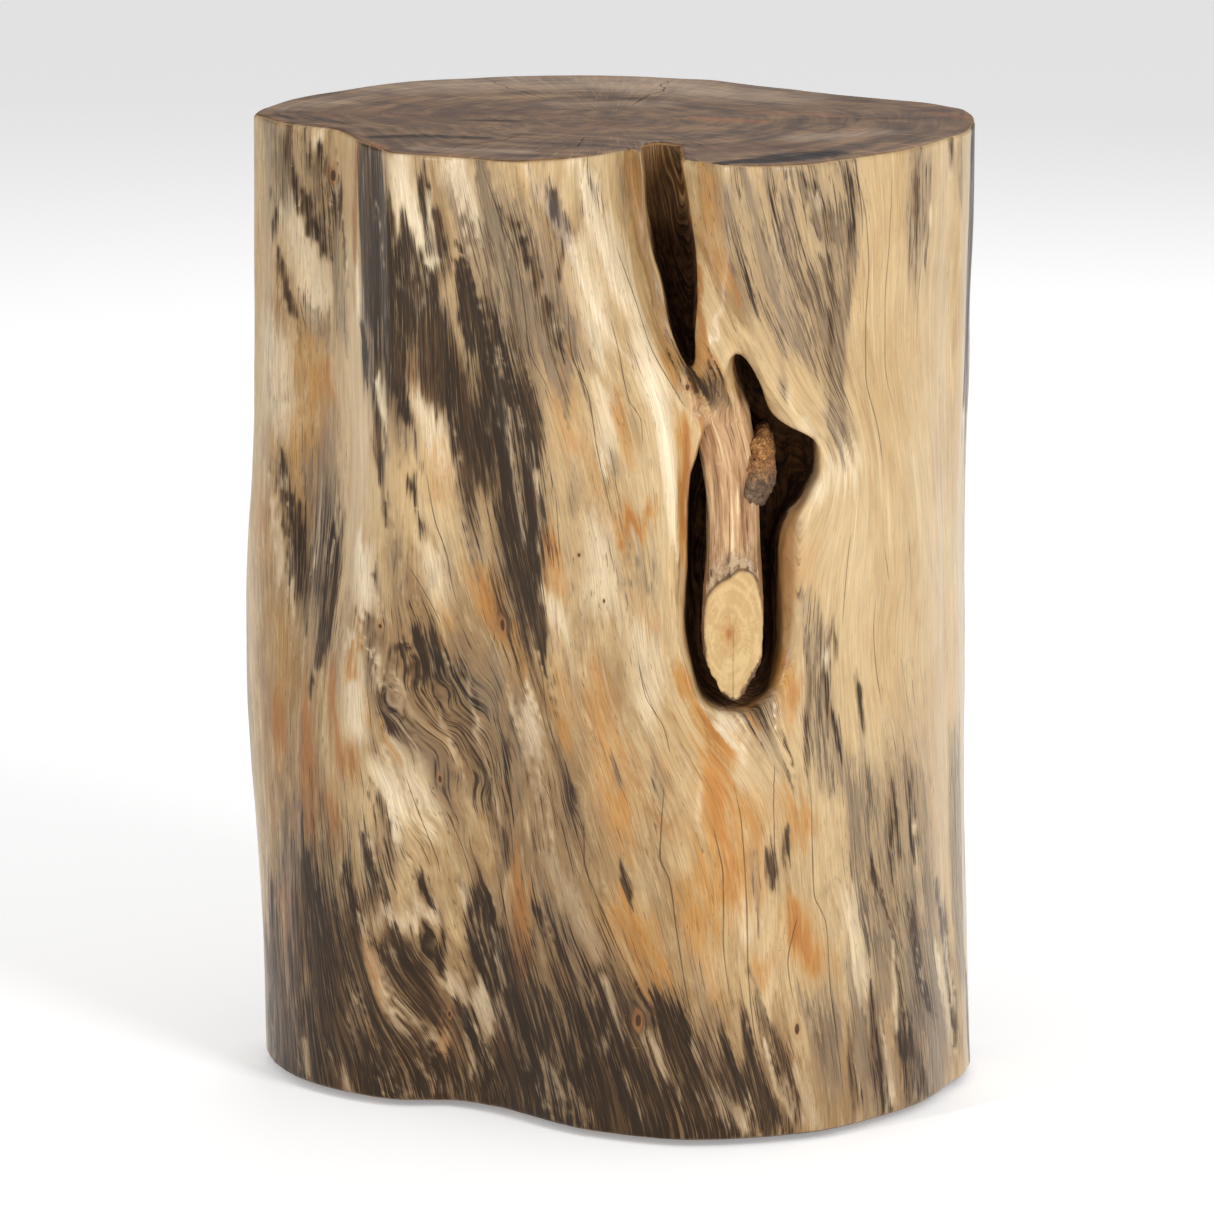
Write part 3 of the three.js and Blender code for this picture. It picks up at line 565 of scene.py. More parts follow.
def nets(d, pos, wrap):
    """Surface nets on a grid of samples d, negative inside. pos(i, j, k) gives the place of grid points.
    Returns the vertices, the four-sided faces and the cell of each vertex."""
    ni = d.shape[0]
    if wrap:
        d = np.concatenate([d, d[:1]], 0)
    neg = d < 0
    ci, cj, ck = [n - 1 for n in d.shape]
    cnt = np.zeros((ci, cj, ck), np.uint8)
    for a in (0, 1):
        for b in (0, 1):
            for c in (0, 1):
                cnt += neg[a:a + ci, b:b + cj, c:c + ck]
    act = (cnt > 0) & (cnt < 8)
    i, j, k = np.nonzero(act)
    idx = np.full(act.shape, -1, np.int32)
    idx[i, j, k] = np.arange(len(i))
    corner = [(a, b, c) for a in (0, 1) for b in (0, 1) for c in (0, 1)]
    val = [d[i + a, j + b, k + c] for a, b, c in corner]
    pla = [pos((i + a) % ni if wrap else i + a, j + b, k + c) for a, b, c in corner]
    acc, num = np.zeros((len(i), 3)), np.zeros(len(i))
    for p in range(8):
        for q in range(p + 1, 8):
            if sum(x != y for x, y in zip(corner[p], corner[q])) != 1:
                continue
            m = (val[p] < 0) != (val[q] < 0)
            t = (val[p][m] / (val[p][m] - val[q][m]))[:, None]
            acc[m] += pla[p][m] * (1 - t) + pla[q][m] * t
            num[m] += 1
    v = acc / num[:, None]
    quads = []

    def add(a, b, c, e, start_in):
        q = np.stack([a, b, c, e], 1)
        q[~start_in] = q[~start_in][:, ::-1]
        quads.append(q)
    # edges along i
    m = neg[:-1, 1:-1, 1:-1] != neg[1:, 1:-1, 1:-1]
    a, b, c = np.nonzero(m)
    b, c = b + 1, c + 1
    add(idx[a, b - 1, c - 1], idx[a, b, c - 1], idx[a, b, c], idx[a, b - 1, c], neg[a, b, c])
    # edges along j
    lo = 0 if wrap else 1
    m = neg[lo:ci, :-1, 1:-1] != neg[lo:ci, 1:, 1:-1]
    a, b, c = np.nonzero(m)
    a, c = a + lo, c + 1
    am = (a - 1) % ci
    add(idx[am, b, c - 1], idx[am, b, c], idx[a, b, c], idx[a, b, c - 1], neg[a, b, c])
    # edges along k
    m = neg[lo:ci, 1:-1, :-1] != neg[lo:ci, 1:-1, 1:]
    a, b, c = np.nonzero(m)
    a, b = a + lo, b + 1
    am = (a - 1) % ci
    add(idx[am, b - 1, c], idx[a, b - 1, c], idx[a, b, c], idx[am, b, c], neg[a, b, c])
    return v, np.concatenate(quads), (i, j, k)


def settle(p, f, steps=3, h=0.06, cap=1.0):
    """Moves points onto the surface of f."""
    for _ in range(steps):
        d = f(p[:, 0], p[:, 1], p[:, 2])
        g = np.stack([(f(p[:, 0] + h * (a == 0), p[:, 1] + h * (a == 1), p[:, 2] + h * (a == 2)) - d) / h for a in range(3)], 1)
        move = d[:, None] * g / np.maximum((g * g).sum(1), 0.15)[:, None]
        far = np.linalg.norm(move, axis=1)
        p = p - move * np.minimum(1, cap / np.maximum(far, 1e-9))[:, None]
    return p


def graded(stops):
    """Values from the first stop to the last. Each stop is (value, step from here on)."""
    out = [stops[0][0]]
    for (a, sa), (b, sb) in zip(stops[:-1], stops[1:]):
        n = max(1, int(round(abs(b - a) / sa)))
        out += list(a + (b - a) * (np.arange(1, n + 1) / n))
    return np.array(out)


def build_log():
    q = 1.0
    # columns, close together where the cleft and the hollow are
    deg = graded([(-180, 0.92 * q), (-100, 0.62 * q), (-92, 0.40 * q), (-48, 0.62 * q), (-40, 0.92 * q), (4, 1.45 * q), (180, 1)])[:-1] + 0.05
    ang = np.radians(deg)
    e = graded([(-3.05, 0.7 * q), (-0.95, 0.6 * q), (3.25, 1.15 * q), (50, 2.0 * q), (90, 9), (138, 1)])
    z = np.concatenate([graded([(Z0 - 0.95, 0.6 * q), (Z0 + 3.25, 2.6 * q), (198, 1.1 * q), (H - 3.25, 0.6 * q), (H + 0.85, 1)])])
    ga, gz = np.meshgrid(ang, z, indexing="ij")
    big = trunk_r(ga, gz)
    na, ne, nz = len(ang), len(e), len(z)
    scale = 1 - e / 150

    def pos(i, j, k):
        r = big[i, k] * scale[j]
        return np.stack([r * np.cos(ang[i]), r * np.sin(ang[i]), z[k]], 1)
    d = np.empty((na, ne, nz), F)
    rel = table_at(R_TAB, s_of(ga), gz, grows=False)
    out = np.maximum(z - H, Z0 - z)[None, :]
    for j in range(ne):
        side = big * scale[j] - (big + rel)
        d[:, j] = np.minimum(np.maximum(side + EDGE, out + EDGE), 0) + np.hypot(np.maximum(side + EDGE, 0), np.maximum(out + EDGE, 0)) - EDGE
    # full distances only where the cleft and the hollow can reach
    rows = np.nonzero((deg > -95.5) & (deg < -42))[0]
    cols = np.nonzero(e < 92)[0]
    high = np.nonzero(z > 193)[0]
    i, j, k = [g.ravel() for g in np.meshgrid(rows, cols, high, indexing="ij")]
    for a in range(0, len(i), 400000):
        s = slice(a, a + 400000)
        p = pos(i[s], j[s], k[s])
        d[i[s], j[s], k[s]] = log_sd(p[:, 0], p[:, 1], p[:, 2])
    v, f, (ci, cj, ck) = nets(d, pos, True)
    v = settle(v, log_sd)
    top = v[:, 2] > H - 0.02
    # the underside needs no fine grid: a few rings and a middle point
    kb, kt = ck.min(), ck.max()
    jb = int(np.searchsorted(e, 9.0))
    kill = (ck <= kb + 1) & (cj > jb) & (v[:, 2] < Z0 + 0.05)
    f = f[~kill[f].any(1)]
    ring = np.full(na, -1)
    m = (cj == jb) & (v[:, 2] < Z0 + 0.05)
    ring[ci[m]] = np.nonzero(m)[0]
    last = np.full(na, -1)
    m = (cj == cj.max()) & (v[:, 2] > H - 0.05)
    last[ci[m]] = np.nonzero(m)[0]
    if (ring < 0).any() or (last < 0).any():
        raise RuntimeError("the end faces of the trunk are not whole")
    verts, tris = [v], []
    base, n = ring, len(v)
    for s in (0.72, 0.46, 0.22):
        w = v[ring] * np.array([s, s, 1])
        nxt = np.arange(n, n + na)
        verts.append(w)
        n += na
        f = np.concatenate([f, np.stack([base, nxt, np.roll(nxt, -1), np.roll(base, -1)], 1)])
        base = nxt
    verts.append(np.array([[0, 0, Z0], [0, 0, H]]))
    tris += [np.stack([base, np.full(na, n), np.roll(base, -1)], 1), np.stack([last, np.roll(last, -1), np.full(na, n + 1)], 1)]
    v = np.concatenate(verts)
    used = np.zeros(len(v), bool)
    used[f.ravel()] = True
    for t in tris:
        used[t.ravel()] = True
    new = np.cumsum(used) - 1
    return v[used], new[f], new[np.concatenate(tris)]


def grid_piece(lo, hi, step, f, steps=3):
    """A closed piece from a distance function, on a plain grid."""
    axes = [np.arange(a, b + step, step) for a, b in zip(lo, hi)]
    g = [m.ravel() for m in np.meshgrid(*axes, indexing="ij")]
    d = f(*g).reshape([len(a) for a in axes])

    def pos(i, j, k):
        return np.stack([axes[0][i], axes[1][j], axes[2][k]], 1)
    v, q, _ = nets(d, pos, False)
    return settle(v, f, steps), q


def largest_shell(v, quads, tris=None):
    """Keeps the biggest connected part of a mesh, so no crumb floats beside it."""
    n = len(v)
    lab = np.arange(n)
    faces = [quads] + ([tris] if tris is not None and len(tris) else [])
    while True:
        old = lab.copy()
        for f in faces:
            m = lab[f].min(1)
            for c in range(f.shape[1]):
                np.minimum.at(lab, f[:, c], m)
        lab = lab[lab]
        if (lab == old).all():
            break
    keep = lab == np.bincount(lab).argmax()
    new = np.cumsum(keep) - 1
    out = [v[keep], new[quads[keep[quads[:, 0]]]]]
    if tris is not None:
        out.append(new[tris[keep[tris[:, 0]]]])
    return out


def make_mesh(name, v, quads, tris=None, attrs=None, smooth_shade=True):
    me = bpy.data.meshes.new(name)
    nt = 0 if tris is None else len(tris)
    nq = len(quads)
    me.vertices.add(len(v))
    me.vertices.foreach_set("co", (np.asarray(v, float) / 1000).astype(F).ravel())
    loops = np.concatenate([np.asarray(quads).ravel()] + ([np.asarray(tris).ravel()] if nt else [])).astype(np.int32)
    me.loops.add(len(loops))
    me.loops.foreach_set("vertex_index", loops)
    me.polygons.add(nq + nt)
    start = np.concatenate([np.arange(nq) * 4, nq * 4 + np.arange(nt) * 3]).astype(np.int32)
    me.polygons.foreach_set("loop_start", start)
    for key, val in (attrs or {}).items():
        val = np.asarray(val, F)
        kind = "FLOAT" if val.ndim == 1 else "FLOAT_VECTOR"
        at = me.attributes.new(key, kind, "POINT")
        at.data.foreach_set("value" if val.ndim == 1 else "vector", val.ravel())
    me.update(calc_edges=True)
    me.validate()
    if smooth_shade:
        me.polygons.foreach_set("use_smooth", np.ones(len(me.polygons), bool))
    ob = bpy.data.objects.new(name, me)
    bpy.context.scene.collection.objects.link(ob)
    return ob

# ------------------------------------------------------------------------------------------------ marks in the wood
# Every mark is a brush stroke: a kind, how strong it is, and a path of (x, y, half width) in pixels of the photograph.
# D dark fungus stain, G grey veil, O orange blush, R rust streak, Y pale or golden wood that also clears the stain.
# Seven Y strokes are painted highlights: the one that starts at 362,545 on the ridge at the left, those at 572,150,
# 590,170, 632,300 and 650,380 along the rolls beside the cleft and the hollow, the one at 722,718 on the bulge under
# the hollow and the one at 820,492 right of the pocket.
MARKS = """
D .6 286,136,5 300,194,6 316,224,7 330,256,5
D .42 309,141,6 325,170,7 338,214,7
G .55 268,132,10 276,170,10 290,215,8
G .5 300,150,14 318,185,14 330,215,10
D .7 340,187,3 346,256,4
D .6 270,198,2 281,260,3 292,302,2.5
D .7 286,274,2 293,313,2
G .4 300,290,5 318,320,6 330,345,5
G .6 334,262,6 341,300,7 345,325,5
D .62 372,158,13 370,190,12
D .98 368,205,11 374,250,14 384,300,18 392,340,16 398,372,10
D .8 362,330,5 366,360,5
D .85 401,244,13 424,302,18 437,348,18 450,394,20 474,440,20
D .8 424,182,5 434,215,7 440,256,9
D .5 376,390,4 382,440,5
G .7 401,395,8 410,440,8
D 1 462,275,8 480,326,11 502,380,12 514,420,14
D .86 498,396,25 512,440,25 519,500,24 519,550,22 528,600,15 540,640,7
Y .7 508,420,3 517,490,3.5 523,545,3
Y .6 532,440,2 538,500,2.5 536,560,2
D .95 480,336,7 503,382,9 526,417,10 534,453,8
D .5 378,458,3 389,504,3
D .45 408,481,3 425,530,4
G .55 454,446,7 470,515,7 480,563,7
D .4 462,470,4 476,540,4
D .62 279,465,7 288,504,8 295,545,11 302,577,8 304,606,3
G .8 318,480,14 325,530,16 316,575,14
D .35 322,500,10 318,560,10
D .85 338,532,4 331,584,5.5 325,630,5.5 318,658,3
D .5 373,573,3.5 382,600,4
G .35 396,540,8 402,590,8
D .62 412,649,4 437,655,7 452,669,5
D .5 412,667,4.5 433,678,5
D .66 378,683,5 389,699,8 401,716,5
D .5 435,692,4 447,704,4
G .65 387,711,9 410,745,12 447,775,12
G .4 369,642,8 373,688,8
G .5 447,665,11 483,699,12 497,722,10
D .45 450,690,5 478,712,4
D .56 377,803,4 391,827,6 396,850,7
D .56 365,841,5 377,879,9 382,889,4
D .6 419,874,3.5 429,888,4
D .6 346,876,5 358,921,6 358,940,5
D .55 311,898,10 318,940,24 320,1011,30 336,1082,42
D .5 271,905,5 273,1011,6 276,1046,6
G .6 288,860,14 300,880,16
D .8 382,950,7 405,962,19 424,999,13 441,1012,6
D .66 429,921,4 428,954,7
D .9 464,893,4 474,917,9 478,945,10 485,975,4
D .9 490,926,6 500,975,8
D .8 441,926,3 443,964,3.5
D .6 358,1011,8 381,1058,11 405,1093,12
D .55 405,1023,6 440,1077,10
D 1 483,1052,5 485,1092,8
D .62 464,1011,8 500,1070,14 520,1105,14
D .78 482,930,9 504,987,13 522,1058,16 551,1117,26
D .3 535,918,5 560,952,10 580,986,13 600,1015,12
G .34 540,890,8 570,940,14 590,985,16
D .6 504,829,3 506,869,3.5
G .6 569,788,7 574,808,8
D .35 570,790,4 575,806,5
D .7 619,869,2.5 631,898,3
D .99 593,1030,9 612,1046,22 622,1082,32 634,1130,46
D .8 546,1050,14 570,1110,28
D .92 657,1008,5 680,1030,14 692,1070,21 716,1126,26
D .5 596,985,2.5 608,1005,4 624,1032,4
G .5 699,968,5 716,1034,7 728,1070,9
D .64 755,985,3 767,1023,6 781,1070,9 798,1117,9
D .74 746,1042,5 751,1082,9 767,1124,11
D .66 725,1058,6 736,1117,9
D .75 788,829,3.5 788,858,4
D .8 771,860,5 777,886,5
G .55 755,872,6 755,895,6
G .75 807,1006,5 821,1020,10 826,1040,9
D .35 812,1010,4 822,1036,5
G .7 836,1010,4 838,1030,4
D .62 869,985,2.5 871,1023,4 876,1058,6 885,1105,5
G .55 858,1000,10 872,1050,15 880,1100,16
D .68 895,962,2.5 899,1023,5 909,1058,7 922,1093,7
D .5 852,1042,3 859,1105,5
G .65 829,1042,7 834,1085,9
D .62 892,796,4 897,858,5
D .57 909,786,3.5 916,846,4
D .6 871,872,2.5 890,921,3
D .52 913,930,5 921,976,8 932,1002,5
G .6 905,930,10 922,980,15 936,1040,15
D .5 937,898,4 947,952,6 956,1011,5
G .8 956,775,9 958,869,9 961,940,8
G .7 921,1005,12 934,1060,13
G .5 850,787,3 852,869,3
G .5 862,795,16 873,893,18 885,940,16
G .45 905,800,20 912,860,20 920,920,18
D .32 831,624,4 824,653,5 828,699,5 839,747,4
D .45 835,632,3 836,645,3
D .55 807,650,2.5 808,757,2.5
G .72 816,640,11 819,711,11 831,757,11
D .65 860,688,2.5 865,729,3
G .65 835,755,7 840,782,6
G .6 867,765,4 870,800,4
G .5 905,770,3 909,800,4
D .42 741,704,5 760,712,8 774,722,6
D .55 749,680,6 758,706,8
G .7 738,700,9 775,727,10
G .5 762,640,7 768,690,9
D .24 725,171,3 734,233,4 748,290,4 777,343,5 782,394,4
G .6 738,172,12 752,233,14 770,290,16 796,336,12
G .5 772,172,12 786,233,13 804,290,14 826,330,10
D .2 770,185,5 780,240,6 800,300,6
D .24 805,171,4 826,205,7 833,250,8 832,300,5 830,371,3
G .72 808,172,13 832,230,15 838,290,10 832,360,8 836,420,5
G .5 833,400,9 842,430,12
D .27 846,168,3 856,205,5 851,251,4 849,280,3
G .6 846,168,8 856,215,8 850,270,6
D .36 918,163,3 915,205,4 915,246,3
G .6 918,163,8 915,205,8 915,256,6
D .32 930,158,3 927,205,4 924,250,3
D .6 950,138,3.5 951,170,3.5
G .5 960,138,3 961,195,3
G .8 497,200,11 518,245,17 540,290,19 556,335,17 562,374,8
D .5 505,212,5 528,262,6 546,312,6 556,350,5
D .65 549,192,5 565,233,7 560,262,4
G .72 480,225,15 500,302,17 524,371,12
G .5 450,190,9 478,262,10
G .62 577,166,7 592,192,9
G .4 616,168,5 627,212,6
G .4 586,366,5 590,392,5
G .45 604,440,5 610,462,5
G .42 571,486,5 576,502,4
G .5 618,566,5 628,592,5
G .42 641,570,7 660,580,8
G .4 588,598,7 604,604,5
G .5 616,770,4 620,782,5
G .42 650,750,5 672,777,5
G .5 650,780,5 664,800,4
G .6 520,690,6 516,740,8 508,800,7 506,850,6
G .5 492,640,5 500,690,6
D .3 510,735,3 506,800,3
G .35 600,800,4 604,830,4
G .5 694,812,3 705,850,3
G .5 770,740,5 784,762,6
D .5 785,748,2 794,775,2
Y .9 398,158,9 404,195,10 420,238,11 434,262,6
Y .9 452,164,10 463,190,11 472,215,8 479,240,4
Y .95 376,374,4 382,412,5
Y .8 356,262,3.5 359,325,4
Y .75 286,200,10 300,232,14 312,262,15 318,300,12
Y .7 316,136,3 320,150,3
Y .6 270,340,12 276,420,12
Y .75 418,398,8 436,436,12 446,470,10
Y .95 362,545,8 366,600,10
Y .8 352,640,7 356,735,9
Y .85 380,775,12 398,806,13
Y .7 433,557,13 443,592,12
Y .75 392,735,6 410,770,10 430,810,12
Y .6 549,604,10 557,622,11
Y .8 526,700,5 531,735,6
Y .75 578,250,14 592,300,16 600,340,13
Y .6 602,392,8 606,450,9
Y .7 640,350,9 652,400,9
Y .6 600,520,14 604,600,16
Y .6 640,630,14 650,690,14
Y .55 381,915,8 405,905,9 429,905,8
Y .7 448,974,8 466,990,8
Y .93 360,920,3 372,962,4.5 386,996,4.5 408,1026,4 432,1046,5 446,1056,6
Y .88 354,995,2.5 366,1030,4 380,1056,3.5
Y .8 306,1048,2.5 309,1084,3.5
Y .8 343,1066,3 354,1094,4
Y .7 417,1062,2.5 441,1098,3.5
Y .75 466,1030,3 478,1077,4.5
Y .8 478,985,7 492,1022,6
Y .8 491,942,1.8 508,992,2.2
Y .6 483,990,6 514,1046,6
Y .8 548,1056,2.5 563,1112,3
Y .95 605,980,4.5 622,1030,4.5
Y .8 643,1032,4 664,1079,5
Y .88 692,1044,3.5 716,1089,6 741,1126,8
Y .85 765,1038,2.2 777,1093,3
Y .7 798,1068,5 815,1118,7
Y .88 937,960,4 954,1046,5
Y .8 885,1044,4 891,1106,5
Y .7 909,1048,3 917,1083,4
Y .5 850,900,8 862,980,9
Y .8 704,780,4 702,800,4
Y .55 740,890,8 742,920,9
Y .7 283,345,9 290,420,9
Y .95 572,150,5 588,195,7 601,235,7 614,270,6 628,305,5
Y .6 590,170,5 606,215,6 622,262,6 640,312,5
Y .75 632,300,7 648,345,9 660,385,8
Y .95 650,380,9 660,420,9 667,460,7 674,510,5 680,560,3
Y .4 552,850,8 575,910,9 596,955,7
Y .98 722,718,7 732,734,8 740,750,6
Y .6 800,425,6 812,455,7
Y .6 268,480,3 276,540,4 280,580,3
Y .5 290,520,4 292,600,4
O .9 326,378,6 330,402,7
O .5 312,352,18 320,430,20
O .62 307,442,16 316,472,18
O .6 300,500,12 304,515,11
O .5 259,480,9 259,560,8
O .35 275,620,12 280,680,14
O .62 434,455,12 447,494,13
O .95 478,576,12 488,598,13
O .8 492,606,8 500,630,8
O .6 440,600,9 446,614,8
O .85 350,655,4 351,676,5
O .6 358,626,4 360,645,5
O .6 368,695,5 370,712,5
O .85 386,742,4 397,759,5
R .62 277,697,4 279,748,5
R .6 306,718,6 310,793,8
R .7 331,672,4 337,757,6
R .6 349,742,5 354,770,6
R .6 306,785,6 314,824,7
R .7 329,790,5 335,824,6
R .5 267,780,3 270,810,4
R .9 284,876,5 290,928,7 292,990,6
R .7 366,948,4 382,996,4.5
R .6 364,1026,4 375,1048,4.5
R .5 440,1046,6 447,1062,7
R .6 417,812,3 421,822,3.5
R .7 514,862,5 520,907,8 522,976,6
O .6 505,790,6 510,840,8 518,900,12 522,980,10
R .5 524,978,3 527,990,3.5
O .45 480,830,9 488,856,10
O .95 715,782,12 724,834,24 728,893,19
O .75 700,716,8 710,738,9 722,758,11
O .9 686,672,5 697,708,6 713,734,7 732,748,8
R .7 703,716,4 720,742,5
O .5 606,795,12 617,834,14 626,853,12
O .55 618,755,12 627,805,15
O .3 604,715,18 608,782,18
R .34 594,672,5 599,728,7
O .36 592,665,10 600,725,12
O .75 620,914,14 642,923,15
O .95 640,950,14 648,966,16
O .7 655,970,9 662,985,10
O .65 690,878,14 705,918,16
O .75 789,803,9 804,824,12
O .97 796,915,11 806,952,15
R .6 792,925,7 798,948,7
O .7 757,955,8 762,968,10
O .4 834,955,7 838,968,7
O .5 752,868,9 757,888,9
O .9 548,538,8 556,586,9
R .5 547,560,3 548,590,3
O .6 513,640,7 522,675,9
O .62 553,684,11 561,724,12
O .72 622,522,8 648,514,9
R .5 628,524,4 640,520,4
R .9 687,420,3 688,474,4 689,500,4 690,540,4
O .9 684,410,6 685,460,7 687,510,8 688,560,6
O .65 646,612,6 653,624,7
O .75 672,662,6 684,686,7
O .4 812,545,11 806,600,11
Y .6 820,492,11 848,464,12
O .9 787,674,7 790,692,8
O .8 789,705,3 791,724,4
O .97 751,727,5 757,733,5
O .6 709,175,8 711,233,10 722,270,9
R .95 726,255,2 729,270,2.5 737,293,2.5
R .8 699,286,2.5 700,338,3
O .8 568,330,4 567,374,5
O .62 563,395,12 576,442,14
O .6 616,400,7 628,442,8
O .5 633,168,5 638,235,6
O .6 657,332,5 672,362,6
O .6 681,424,5 689,452,5
R .85 356,146,3 355,210,3 355,258,3
D .8 688,362,3 702,378,4.5 716,396,3 728,416,2
D .55 700,366,4 722,392,4 742,420,3
D .45 676,352,3 694,386,3 704,408,2.5
D .5 742,366,3 748,388,3 752,405,2.5
R .6 690,376,5 700,402,6 706,430,5
O .6 700,352,8 716,372,8 728,394,7
R .8 365,286,2.5 369,312,3
R .6 410,362,3 411,388,3
O 1 451,352,5 455,366,6
O .6 449,330,3 450,340,3
O .5 600,480,10 612,512,10
O .4 660,760,16 668,820,18
O .45 700,940,14 712,1000,14
O .4 760,800,14 764,860,14
O .3 880,620,20 884,700,20
O .35 905,340,18 912,420,18
O .3 850,240,12 852,300,12
"""
# marks on the seat face, as pixels of the photograph with the half width in mm. The two G strokes along the far edge,
# at y 82 to 98, are painted sheen: they make the back of the seat lighter and greyer.
TOP_MARKS = """
D .5 268,115,6 300,118,9 346,123,8
D .75 372,137,5 420,136,7 484,138,5
D .7 466,120,4 512,121,5
D 1 762,161,7 795,157,12 832,153,8
D .9 722,163,4 760,160,6
D .5 600,100,6 640,98,6
D .5 660,150,6 700,147,6
D .6 540,143,5 600,145,5
D .4 860,120,6 900,118,6
G .8 400,87,22 520,82,24 640,82,24
G .7 640,86,20 720,92,22 780,98,18
G .6 280,108,10 340,100,14
G .5 560,104,9 660,104,9
G .7 800,138,8 880,132,9
G .6 420,148,6 520,152,6
O .55 748,112,3 800,114,3.5 842,116,3
O .5 936,113,4 972,118,5
D .35 880,108,7 940,112,8
O .7 700,118,4 760,122,4
R .7 690,152,9 740,147,11 800,145,9
R .6 420,118,9 500,112,9 560,116,8
R .6 560,128,8 620,124,8
R .5 330,116,8 400,112,9
O .5 350,143,5 380,148,5
Y .55 480,98,7 560,95,8
Y .5 610,152,4 632,150,4
Y .6 656,146,4 690,149,4
"""
# fine drying cracks: half width in mm, then the path in pixels
WASHES = """
B .45 275,110,22 275,300,24 268,500,26 266,700,24 272,900,24 285,1080,26
B .35 318,140,26 322,330,26 312,520,30 305,700,34 312,880,40 330,1080,50
B .4 400,560,40 410,680,44 440,790,50 470,880,54
B .4 500,640,34 520,740,40 540,850,48 570,960,56
B .5 380,960,70 460,1040,80 560,1080,90
B .45 620,1030,70 700,1080,70 800,1100,70
B .35 860,1020,60 930,1060,50
B .5 440,180,60 500,240,60 540,330,40
B .45 420,380,50 470,420,50 505,520,34
B .8 704,165,15 714,240,18 734,310,14
G .3 716,170,8 730,240,9 742,290,8
B .75 630,150,12 640,230,11 656,300,10 676,360,12
B .55 700,366,20 716,392,20 728,420,18
B .5 745,352,8 760,396,9 784,428,9 815,446,9
B .8 794,500,7 793,560,8 790,620,9 782,668,9
B .5 684,440,6 682,520,6 680,600,6
B .45 690,680,10 712,724,12 744,722,12
B .3 770,180,30 800,260,36 830,340,36
B .25 905,800,40 920,900,40 940,980,40
B .3 600,760,50 640,860,54 680,940,50
B .35 352,150,6 354,300,6
B .75 268,980,30 285,1090,36
B .7 330,960,50 350,1070,60
B .7 440,1020,60 470,1100,60
B .75 560,1020,60 600,1120,60
B .7 700,1070,46 760,1110,46 840,1100,46
B .5 880,1060,40 940,1040,40
B .4 300,640,40 300,820,40
B .55 460,600,46 500,760,54 540,900,60
B .45 380,640,50 400,740,50
B .4 600,500,60 620,600,60
B .4 585,240,40 620,360,50
B .4 610,720,70 640,900,70
B .3 760,760,60 800,900,60
D .34 300,1030,50 330,1100,60
D .36 430,1060,46 470,1120,56
D .42 540,1060,50 600,1130,60
D .3 700,1100,36 760,1125,36
D .2 380,640,40 420,700,40 460,790,30
D .18 500,690,40 530,800,40
"""
CRACKS = """
.30 480,159 503,224 516,256 525,309 529,348 547,387 556,410
.34 615,242 636,302 652,350 671,384 687,410
.36 567,292 571,350 588,394 597,449 606,490 613,520
.24 609,313 618,348 629,400 641,421 643,449
.40 784,166 791,205 805,256 821,302 826,322
.34 849,159 862,194 867,224 869,267 866,325 866,373 878,428 884,470
.22 888,157 892,175 890,233 885,302 885,359 895,417
.24 923,152 922,198 922,244 917,302 916,359
.32 426,472 435,520 447,554 454,591 460,610
.26 408,564 431,603 442,626
.24 424,699 460,731 479,768 483,793 490,830 498,872
.26 851,531 847,564 844,600 842,626
.20 885,545 890,582
.26 876,596 874,630 876,665 883,711
.18 908,527 912,584
.18 901,653 911,722
.26 638,658 645,694 664,729 671,756
.24 541,665 547,717 563,766
.24 539,775 551,803 557,834
.34 584,815 584,862 593,888 612,935 636,983
.32 664,782 660,858 669,879 676,928 688,1001 697,1030
.30 712,822 723,881 723,940 730,999
.28 732,775 741,822 746,893 748,964 753,1023 774,1105
.28 810,775 812,846 814,893 826,926 830,987 838,1046 845,1105
.34 798,917 788,964 793,999
.26 871,874 890,921 897,940
.30 445,806 462,846 474,888 480,915
.24 405,775 440,869
.24 775,760 774,820 776,870
.22 700,370 722,400 735,430
.30 505,560 512,600 520,622
.20 556,500 560,560
.20 596,180 600,215
.22 300,300 306,330
.26 282,272 292,312
"""


def read_marks(text):
    out = []
    for line in text.split("\n"):
        w = line.split()
        if w:
            out.append((w[0], float(w[1]), np.array([[float(q) for q in p.split(",")] for p in w[2:]])))
    return out


def side_strokes():
    """The strokes as (kind, strength, path of (s, z, half width round, half width up))."""
    out = []
    for kind, strength, p in read_marks(MARKS + WASHES):
        mid = on_wood(p[:, :2])
        lft = on_wood(np.stack([p[:, 0] - p[:, 2], p[:, 1]], 1))
        rgt = on_wood(np.stack([p[:, 0] + p[:, 2], p[:, 1]], 1))
        wide = np.clip((rgt[:, 0] - lft[:, 0]) / 2, 0.9 * p[:, 2] / 2.17, 2.0 * p[:, 2] / 2.17)
        out.append((kind, strength, np.stack([mid[:, 0], mid[:, 1], wide, p[:, 2] / 2.17 * 1.3], 1)))
    return out


def s_on_line(u, z):
    """Where a line of grain stands at a height."""
    s = np.array(u, float)
    for _ in range(6):
        s = s + 0.8 * (u - table_at(U_FLOW, s, z))
    return s


